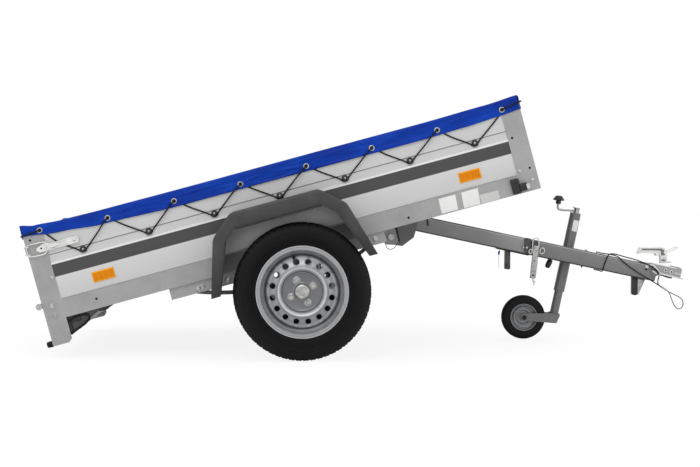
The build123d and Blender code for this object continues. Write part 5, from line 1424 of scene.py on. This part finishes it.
# %% Drawbar details
black, bright, blue, shadow, stubs, web = (bmesh.new() for _ in range(6))
turned(black, ((0, 0), (0, 8.5), (4, 11.5), (12, 12.5), (30, 12.2), (38, 9.5),
               (42, 0)), (722, 33, 46), (-0.22, 0, -0.97), 28)
bar(bright, (728, 33, 74), (721, 33, 44), 4.2)
for side in SIDES:
    disc(shadow, (527, side * 13.7, -17), (0, side, 0), 3.4, 0.5)
rear_stub = ((507.4, 46.6), (531.6, 46.6), (547.8, -30.2), (541, -34.6), (524, -35.8))
front_stub = ((1084.4, 46.6), (1111.6, 46.6), (1126, -24.6), (1118, -30.4), (1104, -31.4),
              (1099.6, -26))
plate(stubs, rear_stub, -13.7, 13.7, bevel=1.2)
plate(black, front_stub, -13.8, 13.8, bevel=2.2)
plate(web, ((1111.5, 47), (1147, 47), (1141, 25), (1132, -25), (1125, -27)), -2.8, 2.8,
      bevel=0.7)
part("stub_sleeve", stubs, "drawbar", strap_steel)
part("stub_web", web, "drawbar", zinc)
plate(black, ((464, 49), (617, 49), (612, 43), (470, 43)), -22, 22, bevel=1.5)
disc(bright, (862, 0, 115), (0, 0, 1), 6, 7, dome=1.5)
bar(black, (859, 0, 47), (857, 0, 40), 3.6)
block(blue, (479, -20, 20), (487, -12, 38), 2)
part("drawbar_black", black, "drawbar", black_plastic)
part("drawbar_bolts", bright, "drawbar", zinc)
part("drawbar_holes", shadow, "drawbar", painted_hole_shade)
part("wire_clip", blue, "drawbar", wire_blue)
wire_end = ((481, 47), (483, 30), (486, 8), (491, -16), (497, -36))
cord_curve("loose_wire", [[(s, -16, t) for s, t in wire_end]], 0.0012, "drawbar",
           label_paper)
bm = bmesh.new()
block(bm, (974, -27, 116.6), (1024, -7, 117.1), 0.2)
part("bar_sticker", bm, "drawbar", label_paper)
print("drawbar details done")

# %% [markdown]
# ## Jockey wheel: crank, knob, label and wheel
# The crank is one bent rod with a black mushroom grip that turns on it. A curve gives the
# bend that two straight rods lack. The wheel has a pressed rim with a bright lip and a hub,
# and a plain rubber tyre with two fine lines. All of it is turned.

# %% Crank
TUBE_AT, ASIDE = 796, 76     # the jockey tube's middle along the drawbar and across it
rod, knob = bmesh.new(), bmesh.new()
turned(rod, ((0, 0), (0, 15.5), (3, 15.5), (3.5, 12), (18, 11.5), (20, 14),
             (25, 14), (26, 12.6), (26, 0)), (799, ASIDE, 270.5), (-0.06, 0, 1), 32)
for start, end, r in (((800, 286), (788, 279), 6.4), ((789, 292), (778, 297), 2.6)):
    bar(rod, (start[0], ASIDE, start[1]), (end[0], ASIDE, end[1]), r)
made = part("crank_head", rod, "drawbar", zinc)
rod_run = ((800, 283), (788, 280.5), (764, 277), (740, 273.6), (724, 271.6), (716.5, 273),
           (712.5, 279), (710.5, 288), (709.8, 298))
cord_curve("crank_rod", [[(s, ASIDE, t) for s, t in rod_run]], 0.0052, "drawbar", zinc)
lean = Vector((-0.10, 0, 1)).normalized()
turned(knob, ((0, 0), (0, 10.6), (2, 11.6), (14, 11.6), (15.5, 13), (15.8, 22.5),
              (17.6, 25), (20, 25.3), (23, 23.4), (34.5, 15), (37, 12.5),
              (37.6, 0)), Vector((710.6, ASIDE, 295)), lean, 40)
part("crank_knob", knob, "drawbar", black_plastic)
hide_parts("jockey_crank")
print("crank done")

# %% Blank label round the jockey tube
LABEL_IN, LABEL_OUT, LABEL_FROM, LABEL_TO = 24.05, 24.6, 190, 240
arc = [math.radians(256 + 4.7 * n) for n in range(15)]
spots = [(TUBE_AT + r * math.cos(a), ASIDE + r * math.sin(a))
         for r, turns in ((LABEL_OUT, arc), (LABEL_IN, arc[::-1])) for a in turns]
sticker = bmesh.new()
under = sticker.faces.new([sticker.verts.new((x, y, LABEL_FROM)) for x, y in spots])
grown = bmesh.ops.extrude_face_region(sticker, geom=[under])["geom"]
bmesh.ops.translate(sticker, vec=(0, 0, LABEL_TO - LABEL_FROM),
                    verts=[item for item in grown if isinstance(item, bmesh.types.BMVert)])
bmesh.ops.recalc_face_normals(sticker, faces=sticker.faces)
part("tube_sticker", sticker, "drawbar", label_paper)
print("label corners", len(spots))

# %% Jockey tyre and rim
jockey_low, jockey_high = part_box("jockey_tyre")
JOCKEY = Matrix.Translation((Vector(jockey_low) + Vector(jockey_high)) / 2) @ MILLIMETRES
half_tyre = ((22.2, 58.3), (23.4, 60.2), (24.2, 62.6), (24.7, 66), (24.9, 70),
             (24.4, 71), (24.9, 72.2), (24.8, 78), (24, 83.5), (23.2, 85), (23, 86.6),
             (20.6, 91), (17, 94.6), (12.6, 96.9), (9, 97.4), (8.6, 95.4), (6.6, 95.4),
             (6.2, 97.5), (0, 97.5))
half_rim = ((22, 57.9), (24.6, 60.4), (26, 60.2), (26.6, 58.6), (25.4, 56.6), (22.4, 55),
            (8, 52.4), (7.4, 48.8), (12, 46.8), (16.6, 45.8), (17.8, 43.8), (16.8, 40.6),
            (12.4, 39.4), (12.2, 36.2), (16.6, 35), (17.8, 32.4), (16.4, 29.6), (8, 27.6),
            (7.6, 18.6), (22.2, 17.6), (24, 16), (24, 8.6))
for label, half, coat, stands_for, word in (
        ("small_tyre", half_tyre, tyre_rubber, "jockey_tyre", "tyre"),
        ("small_rim", half_rim, wheel_paint, "jockey_rim", "rim_paint")):
    bm = bmesh.new()
    whole = half + tuple((-y, r) for y, r in reversed(half) if y > 0)
    turned(bm, whole + whole[:1], (0, 0, 0), (0, 1, 0), 96)
    made = part(label, bm, "jockey_wheel", coat, where=JOCKEY)
    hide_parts(stands_for)
bm = bmesh.new()
for side in SIDES:
    disc(bm, (0, side * 41, 0), (0, side, 0), 9.8, 1.6)
    bolt(bm, (0, side * 42, 0), (0, side, 0), 13, 4, washer=0.6)
part("fork_bolt", bm, "jockey_fork", black_plastic, where=JOCKEY)
print("jockey wheel done")

# %% [markdown]
# ## Wheel discs with level vents
# The solid of the rim was drawn along the tipped box, so its sixteen vents stand off by the
# tip. A wheel may rest at any angle, and here the vents lie evenly about the upright while
# the four bolts stay. So in a merged copy everything outside the dish is turned back about
# the axle.

# %% Level rims
DISH = 0.092     # the dish's radius in metres
upright = Matrix.Translation(AXLE) @ Matrix.Rotation(TIP, 4, "Y") @ Matrix.Translation(-AXLE)
for name, _ in NAMED_SIDES:
    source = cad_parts[f"rim_{name}"]
    bm = bmesh.new()
    bm.from_mesh(source.data)
    bmesh.ops.transform(bm, matrix=source.matrix_world, verts=bm.verts)
    bmesh.ops.remove_doubles(bm, verts=bm.verts, dist=1e-5)
    outside = [v for v in bm.verts
               if math.hypot(v.co.x - AXLE.x, v.co.z - AXLE.z) > DISH]
    bmesh.ops.transform(bm, matrix=upright, verts=outside)
    bmesh.ops.recalc_face_normals(bm, faces=bm.faces)
    made = part(f"road_rim_{name}", bm, f"wheel_{name}", rim_metal_painted_light, smooth=28.0,
                where=Matrix.Identity(4))
    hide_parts(f"rim_{name}")
    print("rim", name, "turned points", len(outside))

# %% [markdown]
# ## Finishes on the pieces that stay as they are
# Folded sheet, beams, pins and brackets have the right shape already, so each keeps its solid
# and takes its own finish.

# %% Finishes for the solid pieces
dressing = {
    steel: ("side_rail_right", "side_rail_left", "cross_members", "front_posts", "rear_posts",
            "light_bar", "suspension_beams", "box_brackets", "coupling_head"),
    board: ("side_wall_right", "side_wall_left", "front_wall", "tailgate"),
    floor_board: ("floor_panel",),
    black_plastic: ("tail_lamps", "foot_buffers", "marker_lamps", "lacing_knobs"),
    red_lens: ("lamp_lenses",),
    label_paper: ("number_plate",),
    amber_lens: ("side_reflectors",),
    guard_plastic: ("mudguard_right", "mudguard_left"),
    spring_steel: ("leaf_springs", "axle_beam"),
    zinc: ("tilt_pin", "tailgate_latches", "gate_hinges", "gate_fittings", "hub_right",
           "hub_left", "coupling_handle", "lock_clamp", "jockey_clamp",
           "jockey_crank", "cable_ferrule"),
    tube_steel_painted_light: ("drawbar_tube",),
    bar_steel: ("pivot_plates", "bar_brackets", "jockey_outer_tube",
                "jockey_inner_tube", "jockey_fork"),
    wheel_paint: ("rim_right", "rim_left", "jockey_rim"),
    tyre_rubber: ("tyre_right", "tyre_left", "jockey_tyre"),
    cord_rubber: ("lacing_cord", "safety_cable", "cable_loop", "tarp", "tarp_flap"),
}
for coat, names in dressing.items():
    for name in names:
        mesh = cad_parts[name].data
        mesh.materials.clear()
        mesh.materials.append(coat)
left_out = sorted(set(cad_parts) - {name for names in dressing.values() for name in names})
print("nodes without a finish:", left_out)
